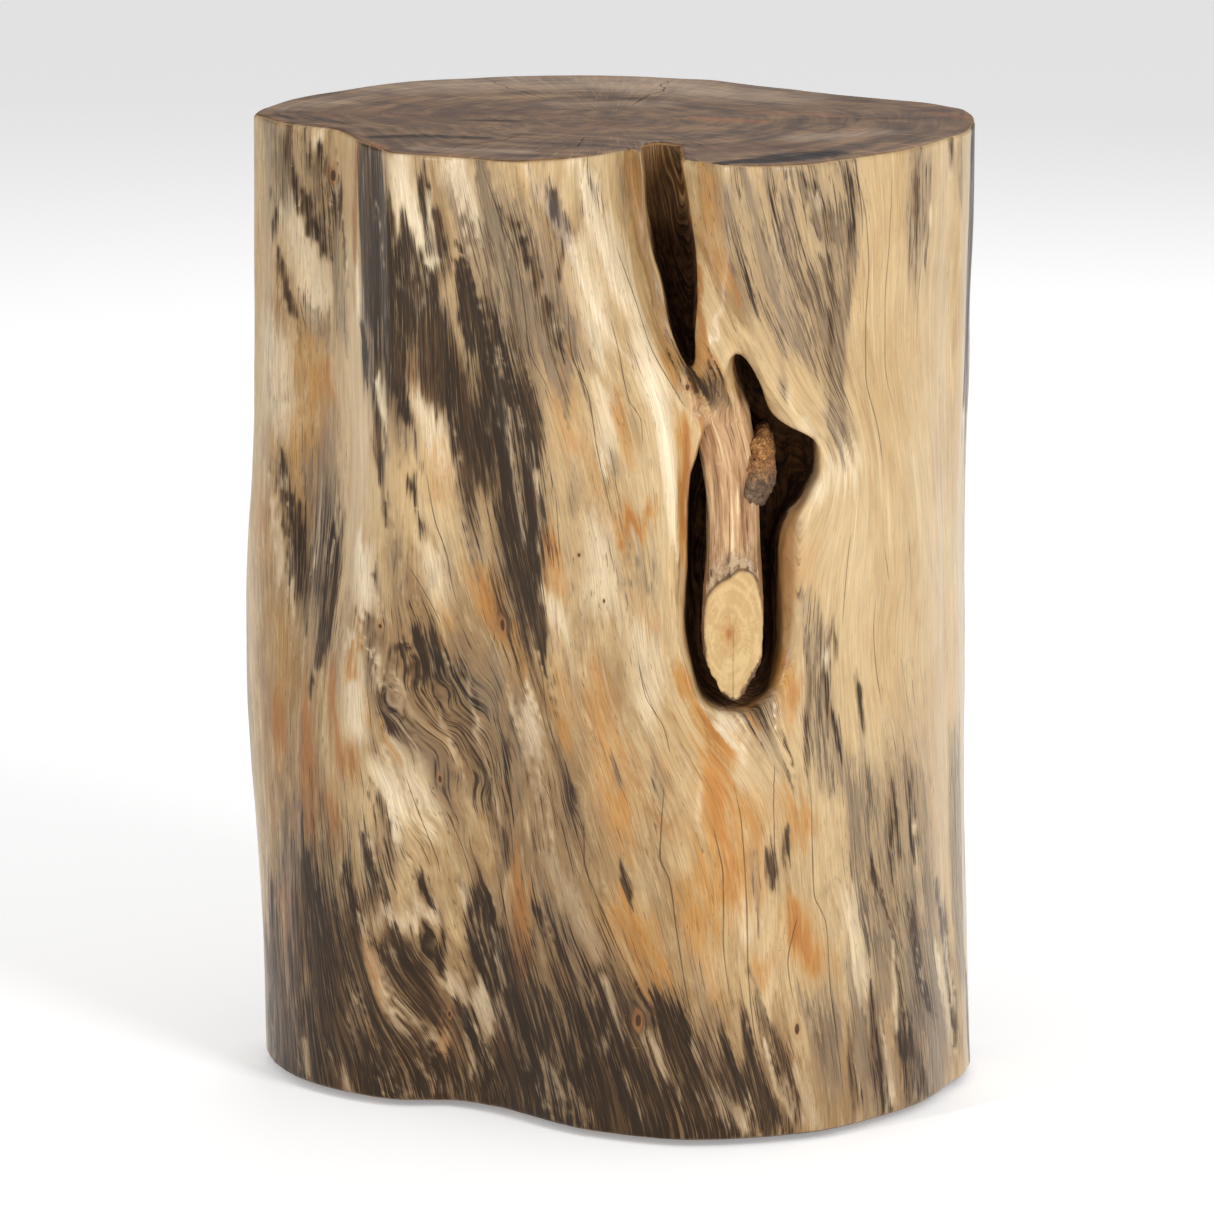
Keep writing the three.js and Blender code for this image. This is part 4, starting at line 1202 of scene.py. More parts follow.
def back_strokes():
    """Strokes of the same kinds on the sides and the back, which the photograph doesn't show."""
    rng = np.random.default_rng(20261)
    out = []

    def run(kind, strength, s, z1, z2, w):
        n = 5
        z = np.linspace(z1, z2, n)
        u0 = float(table_at(U_FLOW, s, (z1 + z2) / 2))
        path = s_on_line(np.full(n, u0) + np.cumsum(rng.normal(0, 1.6, n)), z)
        wide = w * (0.45 + 0.55 * np.sin(np.linspace(0.35, 2.9, n))) * rng.uniform(0.75, 1.25, n)
        out.append((kind, strength, np.stack([path, z, wide, wide * 1.4], 1)))

    def spot():
        return float(rng.uniform(252, AROUND - 252))
    half = AROUND / 2
    for _ in range(34):                          # dark tongues rising from the base
        s = spot()
        run("D", rng.uniform(0.5, 0.9), (s + half) % AROUND - half, -4, rng.uniform(22, 115), rng.uniform(3, 13))
    for _ in range(26):                          # and coming down from the seat
        s = spot()
        run("D", rng.uniform(0.42, 0.78), (s + half) % AROUND - half, rng.uniform(300, 425), 462, rng.uniform(2.5, 8))
    for s, z1, z2, w in ((300, 205, 400, 17), (318, 120, 260, 13), (-330, 250, 430, 16), (-352, 160, 300, 12), (430, 60, 210, 15), (452, 150, 330, 10), (-470, 180, 330, 13), (-268, 110, 240, 8), (250, 330, 440, 9)):
        for d in (-0.5, 0.1, 0.6):
            run("D", rng.uniform(0.48, 0.8), s + d * w, z1 + rng.uniform(-18, 18), z2 + rng.uniform(-22, 22), w * rng.uniform(0.3, 0.6))
    for _ in range(46):
        s, z = (spot() + half) % AROUND - half, rng.uniform(30, 430)
        run("G", rng.uniform(0.4, 0.8), s, z - rng.uniform(20, 70), z + rng.uniform(20, 70), rng.uniform(3, 12))
    for _ in range(38):
        s, z = (spot() + half) % AROUND - half, rng.uniform(20, 430)
        run("D", rng.uniform(0.4, 0.75), s, z - rng.uniform(10, 40), z + rng.uniform(10, 40), rng.uniform(1.2, 3.5))
    for _ in range(40):
        s, z = (spot() + half) % AROUND - half, rng.uniform(30, 400)
        run("O", rng.uniform(0.4, 0.95), s, z - rng.uniform(8, 35), z + rng.uniform(8, 35), rng.uniform(4, 13))
    for _ in range(26):
        s, z = (spot() + half) % AROUND - half, rng.uniform(20, 400)
        run("R", rng.uniform(0.5, 0.9), s, z - rng.uniform(8, 32), z + rng.uniform(8, 32), rng.uniform(1.2, 4))
    for _ in range(34):
        s, z = (spot() + half) % AROUND - half, rng.uniform(5, 450)
        run("B", rng.uniform(0.3, 0.6), s, z - rng.uniform(50, 140), z + rng.uniform(50, 140), rng.uniform(8, 22))
    for _ in range(60):
        s, z = (spot() + half) % AROUND - half, rng.uniform(5, 450)
        run("Y", rng.uniform(0.5, 0.9), s, z - rng.uniform(15, 55), z + rng.uniform(15, 55), rng.uniform(1.2, 6))
    for s0, z0, a, b in KNOTS_BACK:              # stain drawn out above and below each knot
        run("D", 0.55, s0, z0 + b * 0.6, z0 + b * 3.6, a * 0.7)
        run("D", 0.5, s0, z0 - b * 3.2, z0 - b * 0.6, a * 0.6)
        run("O", 0.7, s0, z0 - b * 2.4, z0 + b * 2.4, a * 1.9)
    return out


SOFT = {"D": (0.0, 2.1), "G": (0.0, 2.3), "O": (0.0, 2.4), "R": (0.0, 2.3), "Y": (0.0, 1.9), "B": (0.0, 1.9)}


def run_out(path, reach):
    """The same stroke with ends that fade along the grain."""
    p = path.copy()
    for a, b in ((0, 1), (-1, -2)):
        d = p[b, :2] - p[a, :2]
        n = max(np.hypot(*d), 1e-6)
        p[a, :2] += d / n * min(1.3 * p[a, 2], 0.4 * n)
    p[:, 3] = reach * p[:, 2]
    return p


def fray(strokes, seed):
    """Thin offshoots that run out of a stain along the grain, and pale slivers left inside it."""
    rng = np.random.default_rng(seed)
    out = [(kind, strength, run_out(path, 2.8) if kind in "DGR" else path) for kind, strength, path in strokes]
    for kind, strength, path in strokes:
        if kind not in "DGR":
            continue
        wide = path[:, 2].mean()
        length = np.hypot(*(path[-1, :2] - path[0, :2]))
        for k in range(int(np.clip(wide * 1.1, 2, 7))):
            p = path.copy()
            p[:, 0] += rng.uniform(-1.2, 1.2) * path[:, 2]
            p[:, 2] = np.maximum(0.8, rng.uniform(0.12, 0.34) * path[:, 2])
            p[:, 3] = p[:, 2] * 3
            for a, b in ((0, 1), (-1, -2)):
                d = p[a, :2] - p[b, :2]
                p[a, :2] += d / max(np.hypot(*d), 1e-6) * (length * 0.1 + 5) * rng.uniform(-0.9, 1.9)
            out.append((kind, strength * rng.uniform(0.35, 0.8), p))
        if kind == "D" and wide > 2.6:
            for k in range(int(np.clip(wide * 0.7, 1, 6))):
                p = path[:2].copy() if rng.uniform() < 0.5 else path[-2:].copy()
                t0, t1 = sorted(rng.uniform(-0.25, 1.25, 2))
                p = np.stack([p[0] + (p[1] - p[0]) * t for t in (t0, (t0 + t1) / 2, t1)])
                p[:, 0] += rng.uniform(-0.95, 0.95) * p[:, 2]
                p[:, 2] = rng.uniform(0.6, 1.3)
                p[:, 3] = p[:, 2] * 4
                out.append(("Y", rng.uniform(0.35, 0.8), p))
    return out


def paint(strokes, a, b, wrap):
    """How strong each kind is at points (a, b)."""
    field = {k: np.zeros(len(a), F) for k in "DGORYB"}
    for kind, strength, p in strokes:
        big = p[:, 2:].max() * SOFT[kind][1]
        a0, a1, b0, b1 = p[:, 0].min() - big, p[:, 0].max() + big, p[:, 1].min() - big, p[:, 1].max() + big
        if wrap:
            mid = (a0 + a1) / 2
            off = (a - mid + AROUND / 2) % AROUND - AROUND / 2
            m = np.nonzero((np.abs(off) < (a1 - a0) / 2) & (b > b0) & (b < b1))[0]
            x = off[m] + mid
        else:
            m = np.nonzero((a > a0) & (a < a1) & (b > b0) & (b < b1))[0]
            x = a[m]
        if not len(m):
            continue
        y, best = b[m], np.full(len(m), 9.0)
        for p0, p1 in zip(p[:-1], p[1:]):
            ex, ey = p1[0] - p0[0], p1[1] - p0[1]
            t = np.clip(((x - p0[0]) * ex + (y - p0[1]) * ey) / max(ex * ex + ey * ey, 1e-6), 0, 1)
            best = np.minimum(best, np.hypot((x - p0[0] - t * ex) / (p0[2] + t * (p1[2] - p0[2])), (y - p0[1] - t * ey) / (p0[3] + t * (p1[3] - p0[3]))))
        f = strength * (1 - smooth(SOFT[kind][0], SOFT[kind][1], best))
        field[kind][m] += (f - field[kind][m] * f).astype(F)
    return field


# small dark holes: pixel of the photograph and half size in pixels
HOLES = [(335, 175, 2.6, 6.5), (381, 626, 1.8, 2.6), (503, 625, 2.2, 6.5), (638, 1020, 2.8, 6.5), (797, 1029, 2.2, 6.0), (579, 555, 1.4, 2.0), (440, 779, 1.6, 4.0), (687, 387, 1.8, 3.2), (754, 609, 0.1, 0.1), (604, 601, 1.0, 2.0), (450, 1014, 1.4, 3.0)]
# cracks in the seat face: angle in degrees, from and to as a share of the radius, half width in mm
SEAT_CRACKS = [(-161, .62, .97, .3), (-128, .38, .99, .42), (-101, .45, .8, .3), (-63, .3, .6, .34), (-49, .55, .96, .36), (-17, .5, .9, .3), (2, .35, .97, .45), (37, .42, .85, .3), (77, .32, .95, .42), (114, .5, .92, .3), (151, .25, .9, .3)]


def crack_lines():
    """Every crack on the side as (half width, z of points, s of points), lowest point first."""
    out = []
    for line in CRACKS.strip().splitlines():
        w = line.split()
        q = on_wood([[float(c) for c in t.split(",")] for t in w[1:]])
        q = q[np.argsort(q[:, 1])]
        out.append((0.78 * float(w[0]), q[:, 1], q[:, 0]))
    rng = np.random.default_rng(977)
    for _ in range(46):
        s0, z0, n = float(rng.uniform(248, AROUND - 248)), float(rng.uniform(40, 420)), float(rng.uniform(14, 70))
        s0 = (s0 + AROUND / 2) % AROUND - AROUND / 2
        z = np.linspace(max(z0 - n, 5), min(z0 + n, 456), 9)
        u0 = float(table_at(U_FLOW, s0, z0))
        wide, line = float(rng.uniform(.18, .42)), s_on_line(np.full(9, u0) + np.cumsum(rng.normal(0, .35, 9)), z)
        if np.abs(np.diff(line) / np.diff(z)).max() < 0.22:
            out.append((wide, z, line))
    return out


def thin_lines(lines, s, z, skip):
    """Signed distance to the nearest cracks in three sets, and their half widths, so that a thin line stays thin between
    the points of a coarse mesh."""
    dist, wide = np.full((len(s), 3), 6.0, F), np.zeros((len(s), 3), F)
    sets = [[], [], []]
    for w, zz, ss in lines:
        z0, z1, c0, c1 = zz.min(), zz.max(), ss.min(), ss.max()
        for k in range(3):
            if all(z1 + 6 < a or z0 - 6 > b or c1 + 16 < c or c0 - 16 > d for a, b, c, d in sets[k]):
                break
        else:
            k = 2
        sets[k].append((z0, z1, c0, c1))
        m = np.nonzero((z > z0 - 4) & (z < z1 + 4) & ~skip)[0]
        path = pchip(zz, ss, z[m])
        d = (s[m] - path + AROUND / 2) % AROUND - AROUND / 2
        t = (z[m] - z0) / max(z1 - z0, 1)
        taper = np.clip(4 * t * (1 - t) * 1.25, 0, 1) ** 0.6 * ((t > 0) & (t < 1))
        near = (np.abs(d) < 5.0) & (np.abs(d) < np.abs(dist[m, k]))
        dist[m[near], k], wide[m[near], k] = d[near], (w * taper)[near]
    return dist, wide


def holes_at(s, z):
    out = np.zeros((len(s), 3), F)
    out[:, :2] = 4.0
    spots = []
    for px, py, a, b in HOLES:
        q = on_wood([(px, py), (px - a, py), (px + a, py)])
        spots.append((q[0, 0], q[0, 1], max((q[2, 0] - q[1, 0]) / 2, a / 2.17), b / 2.17, 0.0))
    for s0, z0, a, b in KNOTS_BACK:
        spots.append((s0, z0, a * 0.62, b * 0.62, 1.0 if a > 6 else 0.0))
    for s0, z0, a, b, big in spots:
        ds, dz = (s - s0 + AROUND / 2) % AROUND - AROUND / 2, z - z0
        q = np.hypot(ds / a, dz / b)
        m = q < np.hypot(out[:, 0], out[:, 1])
        m &= q < max(4.0, 6.0 / a)
        out[m, 0], out[m, 1], out[m, 2] = ds[m] / a, dz[m] / b, 1.0 + big
    return out


def seat_strokes():
    out = []
    for kind, strength, p in read_marks(TOP_MARKS):
        d = ((p[:, 0] - PX / 2) / FOCAL)[:, None] * np.array([1.0, 0, 0]) - ((p[:, 1] - PX / 2) / FOCAL)[:, None] * UP - BACK
        q = EYE + ((H - EYE[2]) / d[:, 2])[:, None] * d
        out.append((kind, strength, np.stack([q[:, 0], q[:, 1], p[:, 2], p[:, 2]], 1)))
    return out


# the pale sawn wood of the branch inside its bark, and its heart, as pixels of the photograph
SAWN = [(706, 601), (710, 593), (716, 587), (724, 581), (732, 577), (738, 570), (750, 572), (757, 581), (761, 596), (764, 614), (765, 633), (764, 652), (759, 664), (753, 673), (746, 687), (738, 702), (731, 699), (727, 695), (718, 690), (711, 680), (707, 670), (706, 655), (704, 640), (704, 620)]


def on_saw(points):
    """Pixels of the photograph as (x, distance up the slanted sawn face)."""
    p = np.array(points, float)
    d = ((p[:, 0] - PX / 2) / FOCAL)[:, None] * np.array([1.0, 0, 0]) - ((p[:, 1] - PX / 2) / FOCAL)[:, None] * UP - BACK
    q = EYE + (((SAW_POINT - EYE) @ SAW_N) / (d @ SAW_N))[:, None] * d
    return np.stack([q[:, 0], (q - SAW_POINT) @ SAW_V], 1)


SAW_V = np.array([0, math.sin(SAW_LEAN), math.cos(SAW_LEAN)])
SAWN_XY = rounder(on_saw(SAWN), 2)
PITH = on_saw([(729, 634)])[0]


def saw_distance(x, y, z):
    """Distance in the sawn face to the edge of its pale wood, negative inside."""
    v = (y - SAW_POINT[1]) * SAW_V[1] + (z - SAW_POINT[2]) * SAW_V[2]
    return poly_sd(x, v, SAWN_XY), v


def stub_sd(x, y, z):
    """The part of the branch that stands free in the hollow: stringy above, sawn off below, its bark a little hollow."""
    d = branch_sd(x, y, z) + 1.5 * smooth(338, 346, z)
    out = (x - SAW_POINT[0]) * SAW_N[0] + (y - SAW_POINT[1]) * SAW_N[1] + (z - SAW_POINT[2]) * SAW_N[2]
    near = out > -6
    sd = np.full(x.shape, -5.0)
    sd[near] = saw_distance(x[near], y[near], z[near])[0]
    bark = smooth(-0.2, 1.4, sd)
    crumb = 0.7 * noise(x / 1.9, y / 2.4, z / 2.1, 83) + 0.35 * noise(x / 0.9, 0, z / 1.0, 89)
    face = out + bark * (1.25 + crumb) + 0.10 * noise(x / 0.9, 0, z / 7.0, 97)
    d = d + np.where(near, bark * 0.3 * crumb, 0)
    d = smax(d, face, 1.3)
    return smax(d, z - 356, 3)


def lump_sd(x, y, z):
    q = np.sqrt(((x - 67.6 - 0.16 * (z - 313)) / (7.4 + 2.2 * smooth(326, 304, z))) ** 2 + ((y + 125.5) / 20.0) ** 2 + ((z - 314.0) / 20.0) ** 2)
    d = (q - 1) * 7.5
    d = d + 1.5 * fbm(x / 4.4, y / 5.0, z / 4.8, 3, 101, 0.6) + 0.5 * np.abs(noise(x / 1.8, y / 2.0, z / 1.6, 103)) - 0.2
    return d * 0.7


# ------------------------------------------------------------------------------------------------ what each point knows


def put(ob, **fields):
    """Stores values on the points of a mesh for its material to read."""
    for key, val in fields.items():
        val = np.asarray(val, F)
        at = ob.data.attributes.new(key, "FLOAT_VECTOR" if val.ndim == 2 else "FLOAT", "POINT")
        at.data.foreach_set("vector" if val.ndim == 2 else "value", val.ravel())


def normals(ob):
    n = np.empty(len(ob.data.vertices) * 3, F)
    ob.data.vertices.foreach_get("normal", n)
    return n.reshape(-1, 3)


def branch_flow(x, y, z):
    """Grain coordinates of the branch, which meet those of the trunk at its root."""
    a, q, r = branch_polar(x, y, z)
    u0 = float(table_at(U_FLOW, 52.0, 372.0))
    return u0 + turn(a, -np.pi / 2) * 13.0 + 7.0 * smooth(310, 380, z), z * 1.0


def wood_fields(ob, p, is_branch):
    n = normals(ob)
    x, y, z = p.T
    ang, rad = np.arctan2(y, x), np.hypot(x, y)
    s = s_of(ang)
    big = trunk_r(ang, z)
    deep = big + table_at(R_TAB, s, z, grows=False) - rad
    in_pit = (y < -55) & (x > -4) & (x < 116) & (z > 193)
    fields = {}
    if is_branch:
        u, v = branch_flow(x, y, z)
        sd, up = saw_distance(x, y, z)
        facing = n @ SAW_N.astype(F)
        out = (p - SAW_POINT) @ SAW_N
        saw = smooth(0.30, 0.70, facing) * smooth(-3.6, -2.4, out) * smooth(12.0, 4.0, sd + 2.0 * noise(x / 4, z / 6, 0, 151))
        top = bot = np.zeros(len(p))
        pit_dark_and_shade = 0.0 * x
        br = np.ones(len(p))
        q = np.hypot(x - PITH[0], (up - PITH[1]) / 1.9)
        a = np.arctan2(up - PITH[1], x - PITH[0])
        ringv = np.stack([np.cos(a), np.sin(a), q], 1)
        back = smooth(-1.8, 0.6, (y - at_z(BT[1], z)) / 14.0)          # 0 on the side that faces the light
        m4 = np.stack([br, np.clip(sd, -20, 20), back], 1)
        dist, wide = np.full((len(p), 3), 6.0), np.zeros((len(p), 3))
        hole = np.tile([4.0, 4.0, 0.0], (len(p), 1))
        f = {k: np.zeros(len(p)) for k in "DGORYB"}
        weld_field = brown_in = np.zeros(len(p))
    else:
        top = smooth(0.5, 0.86, n[:, 2]) * (z > H - 3.4) * ~(in_pit & (deep < 0))
        top = top * (z > H - 3.4)
        bot = smooth(0.5, 0.86, -n[:, 2]) * (z < Z0 + 3.4)
        pit = in_pit * (1 - top) * smooth(1.0, 3.0, deep)
        weld = smooth(4.6 * 1.0 + 3.0, 0.0, np.abs(branch_sd(x + 4.6, y, z) - 4.6)) * smooth(330, 344, z) * smooth(392, 376, z) * in_pit * smooth(14, 7, deep)
        u, v = table_at(U_FLOW, s, z), z * 1.0
        ub, vb = branch_flow(x, y, z)
        bs = branch_sd(x, y, z) + 0.25
        bs = bs - 4.6 * smooth(333, 356, z)
        br = smooth(3.0, 0.6, np.abs(bs)) * smooth(362, 334, z) * (z > 322) * in_pit
        u = u + pit * 0.9 * deep
        ub = ub + (u - ub) * (1 - br)
        u = ub
        in_cleft = smooth(352, 366, z - 0.6 * (x - 40)) * in_pit
        # the wood in the cleft and the hollow is partly its own dark bark and rot and partly painted shade: it is laid
        # darker the deeper it lies below the trunk's outside, and darker still lower down the cleft
        pit_dark_and_shade = pit * (smooth(1.0, 17.0, deep) * (1 - in_cleft) + in_cleft * smooth(1.5, 21.0, deep) * (0.62 + 0.38 * smooth(428, 398, z))) * (1 - br * 0.9) * (1 - 0.85 * weld)
        # less painted shade on the right wall of the lower hollow and in the pocket, which take light
        right_wall = smooth(69, 76, x) * smooth(308, 294, z) * smooth(206, 222, z) * smooth(-108, -114, y)
        pocket_wall = smooth(84, 92, x) * smooth(292, 300, z) * smooth(335, 325, z)
        pit_dark_and_shade = pit_dark_and_shade + right_wall * (0.2 * smooth(1.5, 4, deep) + 0.8 * smooth(12.5, 17.5, deep + 1.2 * noise(x / 3, y / 3, z / 14, 153)) - pit_dark_and_shade)
        pit_dark_and_shade = pit_dark_and_shade * (1 - 0.35 * pocket_wall)
        saw = np.zeros(len(p))
        q = rad / np.maximum(round_table(TOP_R, ang), 1) * 150
        ringv = np.stack([np.cos(ang), np.sin(ang), q + 2.2 * noise(x / 38, y / 38, 0, 121) + 0.7 * noise(x / 12, y / 12, 0, 123)], 1)
        m4 = np.stack([br, np.full(len(p), 20.0), np.clip(deep, 0, 60) * in_pit], 1)
        weld_field = weld
        brown_in = in_cleft * smooth(410, 432, z - 0.5 * (x - 30))
        gx, gy, gz = flow_xyz(table_at(U_FLOW, s, z), z)
        zz = z + 8.0 * fbm(gx / 4.6, gy / 4.6, gz / 90, 2, 141) + 8.0 * noise(gx / 1.5, gy / 1.5, gz / 46, 149)
        ss = s + 2.0 * fbm(gx / 11, gy / 11, gz / 32, 2, 143) + 0.4 * noise(gx / 4, gy / 4, gz / 13, 145)
        side = paint(fray(side_strokes() + back_strokes(), 77), (ss + AROUND / 2) % AROUND - AROUND / 2, zz, True)
        seat = paint(seat_strokes(), x, y, False)
        f = {k: side[k] * (1 - top) * (1 - bot) + seat[k] * top for k in "DGORYB"}
        flat = (top > 0.5) | (bot > 0.5)
        dist, wide = thin_lines(crack_lines(), s, z, flat | (deep > 1.6))
        hole = holes_at(s, z)
        hole[flat | (deep > 2.5)] = [4.0, 4.0, 0.0]
        for k, (deg, r0, r1, w) in enumerate(SEAT_CRACKS):
            wob = np.radians(deg) + 0.035 * noise(rad / 21, k * 3.1, 0, 131) + 0.012 * noise(rad / 6, k * 5.3, 0, 133)
            d = np.sin(turn(ang, wob)) * rad
            share = rad / big
            ok = (top > 0.5) & (np.abs(d) < 5.0) & (np.abs(turn(ang, wob)) < 1.2) & (np.abs(d) < np.abs(dist[:, k % 3])) & (share > r0 - 0.03) & (share < r1 + 0.03)
            t = np.clip((share - r0) / (r1 - r0), 0, 1)
            dist[ok, k % 3], wide[ok, k % 3] = d[ok], (w * np.clip(4 * t * (1 - t) * 1.4, 0, 1) ** 0.7)[ok]
    fx, fy, fz = flow_xyz(u, v)
    fields.update(flow=np.stack([fx, fy, fz], 1), ringv=ringv, place=p, m1=np.stack([f["D"], f["G"], f["O"]], 1), m2=np.stack([f["R"], f["Y"], pit_dark_and_shade], 1),
                  m3=np.stack([top, bot, saw], 1), m4=m4, m5=np.stack([f["B"], weld_field, brown_in], 1), ckd=dist, ckw=wide, hole=hole)
    put(ob, **fields)


# ------------------------------------------------------------------------------------------------ materials


def rgb(r, g, b):
    return tuple([(c / 12.92 if c <= 0.04045 else ((c + 0.055) / 1.055) ** 2.4) for c in (r / 255, g / 255, b / 255)] + [1.0])


class Mat:
    """A short way to write a node tree."""

    def __init__(self, name):
        self.m = bpy.data.materials.new(name)
        self.m.use_nodes = True
        self.t = self.m.node_tree
        self.t.nodes.clear()
        self.out = self.new("ShaderNodeOutputMaterial")
        self.bsdf = self.new("ShaderNodeBsdfPrincipled")
        self.t.links.new(self.bsdf.outputs[0], self.out.inputs["Surface"])

    def new(self, kind):
        return self.t.nodes.new(kind)

    def put(self, socket, value):
        if isinstance(value, bpy.types.NodeSocket):
            self.t.links.new(value, socket)
        else:
            socket.default_value = value

    def attr(self, name):
        n = self.new("ShaderNodeAttribute")
        n.attribute_name = name
        return n.outputs["Vector"]

    def split(self, vec):
        n = self.new("ShaderNodeSeparateXYZ")
        self.put(n.inputs[0], vec)
        return n.outputs[0], n.outputs[1], n.outputs[2]

    def math(self, op, a, b=0.0, c=None, clamp=False):
        n = self.new("ShaderNodeMath")
        n.operation = op
        n.use_clamp = clamp
        self.put(n.inputs[0], a)
        self.put(n.inputs[1], b)
        if c is not None:
            self.put(n.inputs[2], c)
        return n.outputs[0]

    def mul(self, *a, clamp=False):
        out = a[0]
        for b in a[1:]:
            out = self.math("MULTIPLY", out, b, clamp=clamp)
        return out

    def add(self, *a, clamp=False):
        out = a[0]
        for b in a[1:]:
            out = self.math("ADD", out, b, clamp=clamp)
        return out

    def inv(self, a):
        return self.math("SUBTRACT", 1.0, a, clamp=True)

    def step(self, lo, hi, x, to0=0.0, to1=1.0):
        n = self.new("ShaderNodeMapRange")
        n.interpolation_type = "SMOOTHSTEP"
        for k, v in (("Value", x), ("From Min", lo), ("From Max", hi), ("To Min", to0), ("To Max", to1)):
            self.put(n.inputs[k], v)
        return n.outputs[0]

    def scale(self, vec, x, y, z, shift=(0, 0, 0)):
        n = self.new("ShaderNodeVectorMath")
        n.operation = "MULTIPLY_ADD"
        self.put(n.inputs[0], vec)
        n.inputs[1].default_value = (x, y, z)
        n.inputs[2].default_value = shift
        return n.outputs[0]

    def noise(self, vec, detail=1.0, rough=0.5, warp=0.0):
        n = self.new("ShaderNodeTexNoise")
        self.put(n.inputs["Vector"], vec)
        n.inputs["Scale"].default_value = 1.0
        n.inputs["Detail"].default_value = detail
        n.inputs["Roughness"].default_value = rough
        n.inputs["Distortion"].default_value = warp
        return n.outputs[0]

    def grain(self, flow, wide, long_, detail=1.0, rough=0.5, warp=0.0, seed=0):
        """Noise drawn out along the grain, with lumps of that many mm across and along. From about -1 to 1."""
        v = self.noise(self.scale(flow, 1 / wide, 1 / wide, 1 / long_, (seed * 3.7, seed * 1.3, seed * 7.9)), detail, rough, warp)
        return self.math("MULTIPLY_ADD", v, 4.0, -2.0)

    def mix(self, f, a, b):
        n = self.new("ShaderNodeMix")
        n.data_type = "RGBA"
        n.clamp_factor = True
        self.put(n.inputs[0], f)
        self.put(n.inputs[6], a)
        self.put(n.inputs[7], b)
        return n.outputs[2]

    def mixv(self, f, a, b):
        n = self.new("ShaderNodeMix")
        n.data_type = "FLOAT"
        n.clamp_factor = True
        self.put(n.inputs[0], f)
        self.put(n.inputs[2], a)
        self.put(n.inputs[3], b)
        return n.outputs[0]

    def tint(self, col, k):
        """Colour times a number."""
        n = self.new("ShaderNodeVectorMath")
        n.operation = "SCALE"
        self.put(n.inputs[0], col)
        self.put(n.inputs["Scale"], k)
        return n.outputs[0]

    def bump(self, height, mm, strength=1.0, under=None):
        n = self.new("ShaderNodeBump")
        n.inputs["Strength"].default_value = strength
        n.inputs["Distance"].default_value = mm / 1000
        self.put(n.inputs["Height"], height)
        if under is not None:
            self.put(n.inputs["Normal"], under)
        return n.outputs[0]


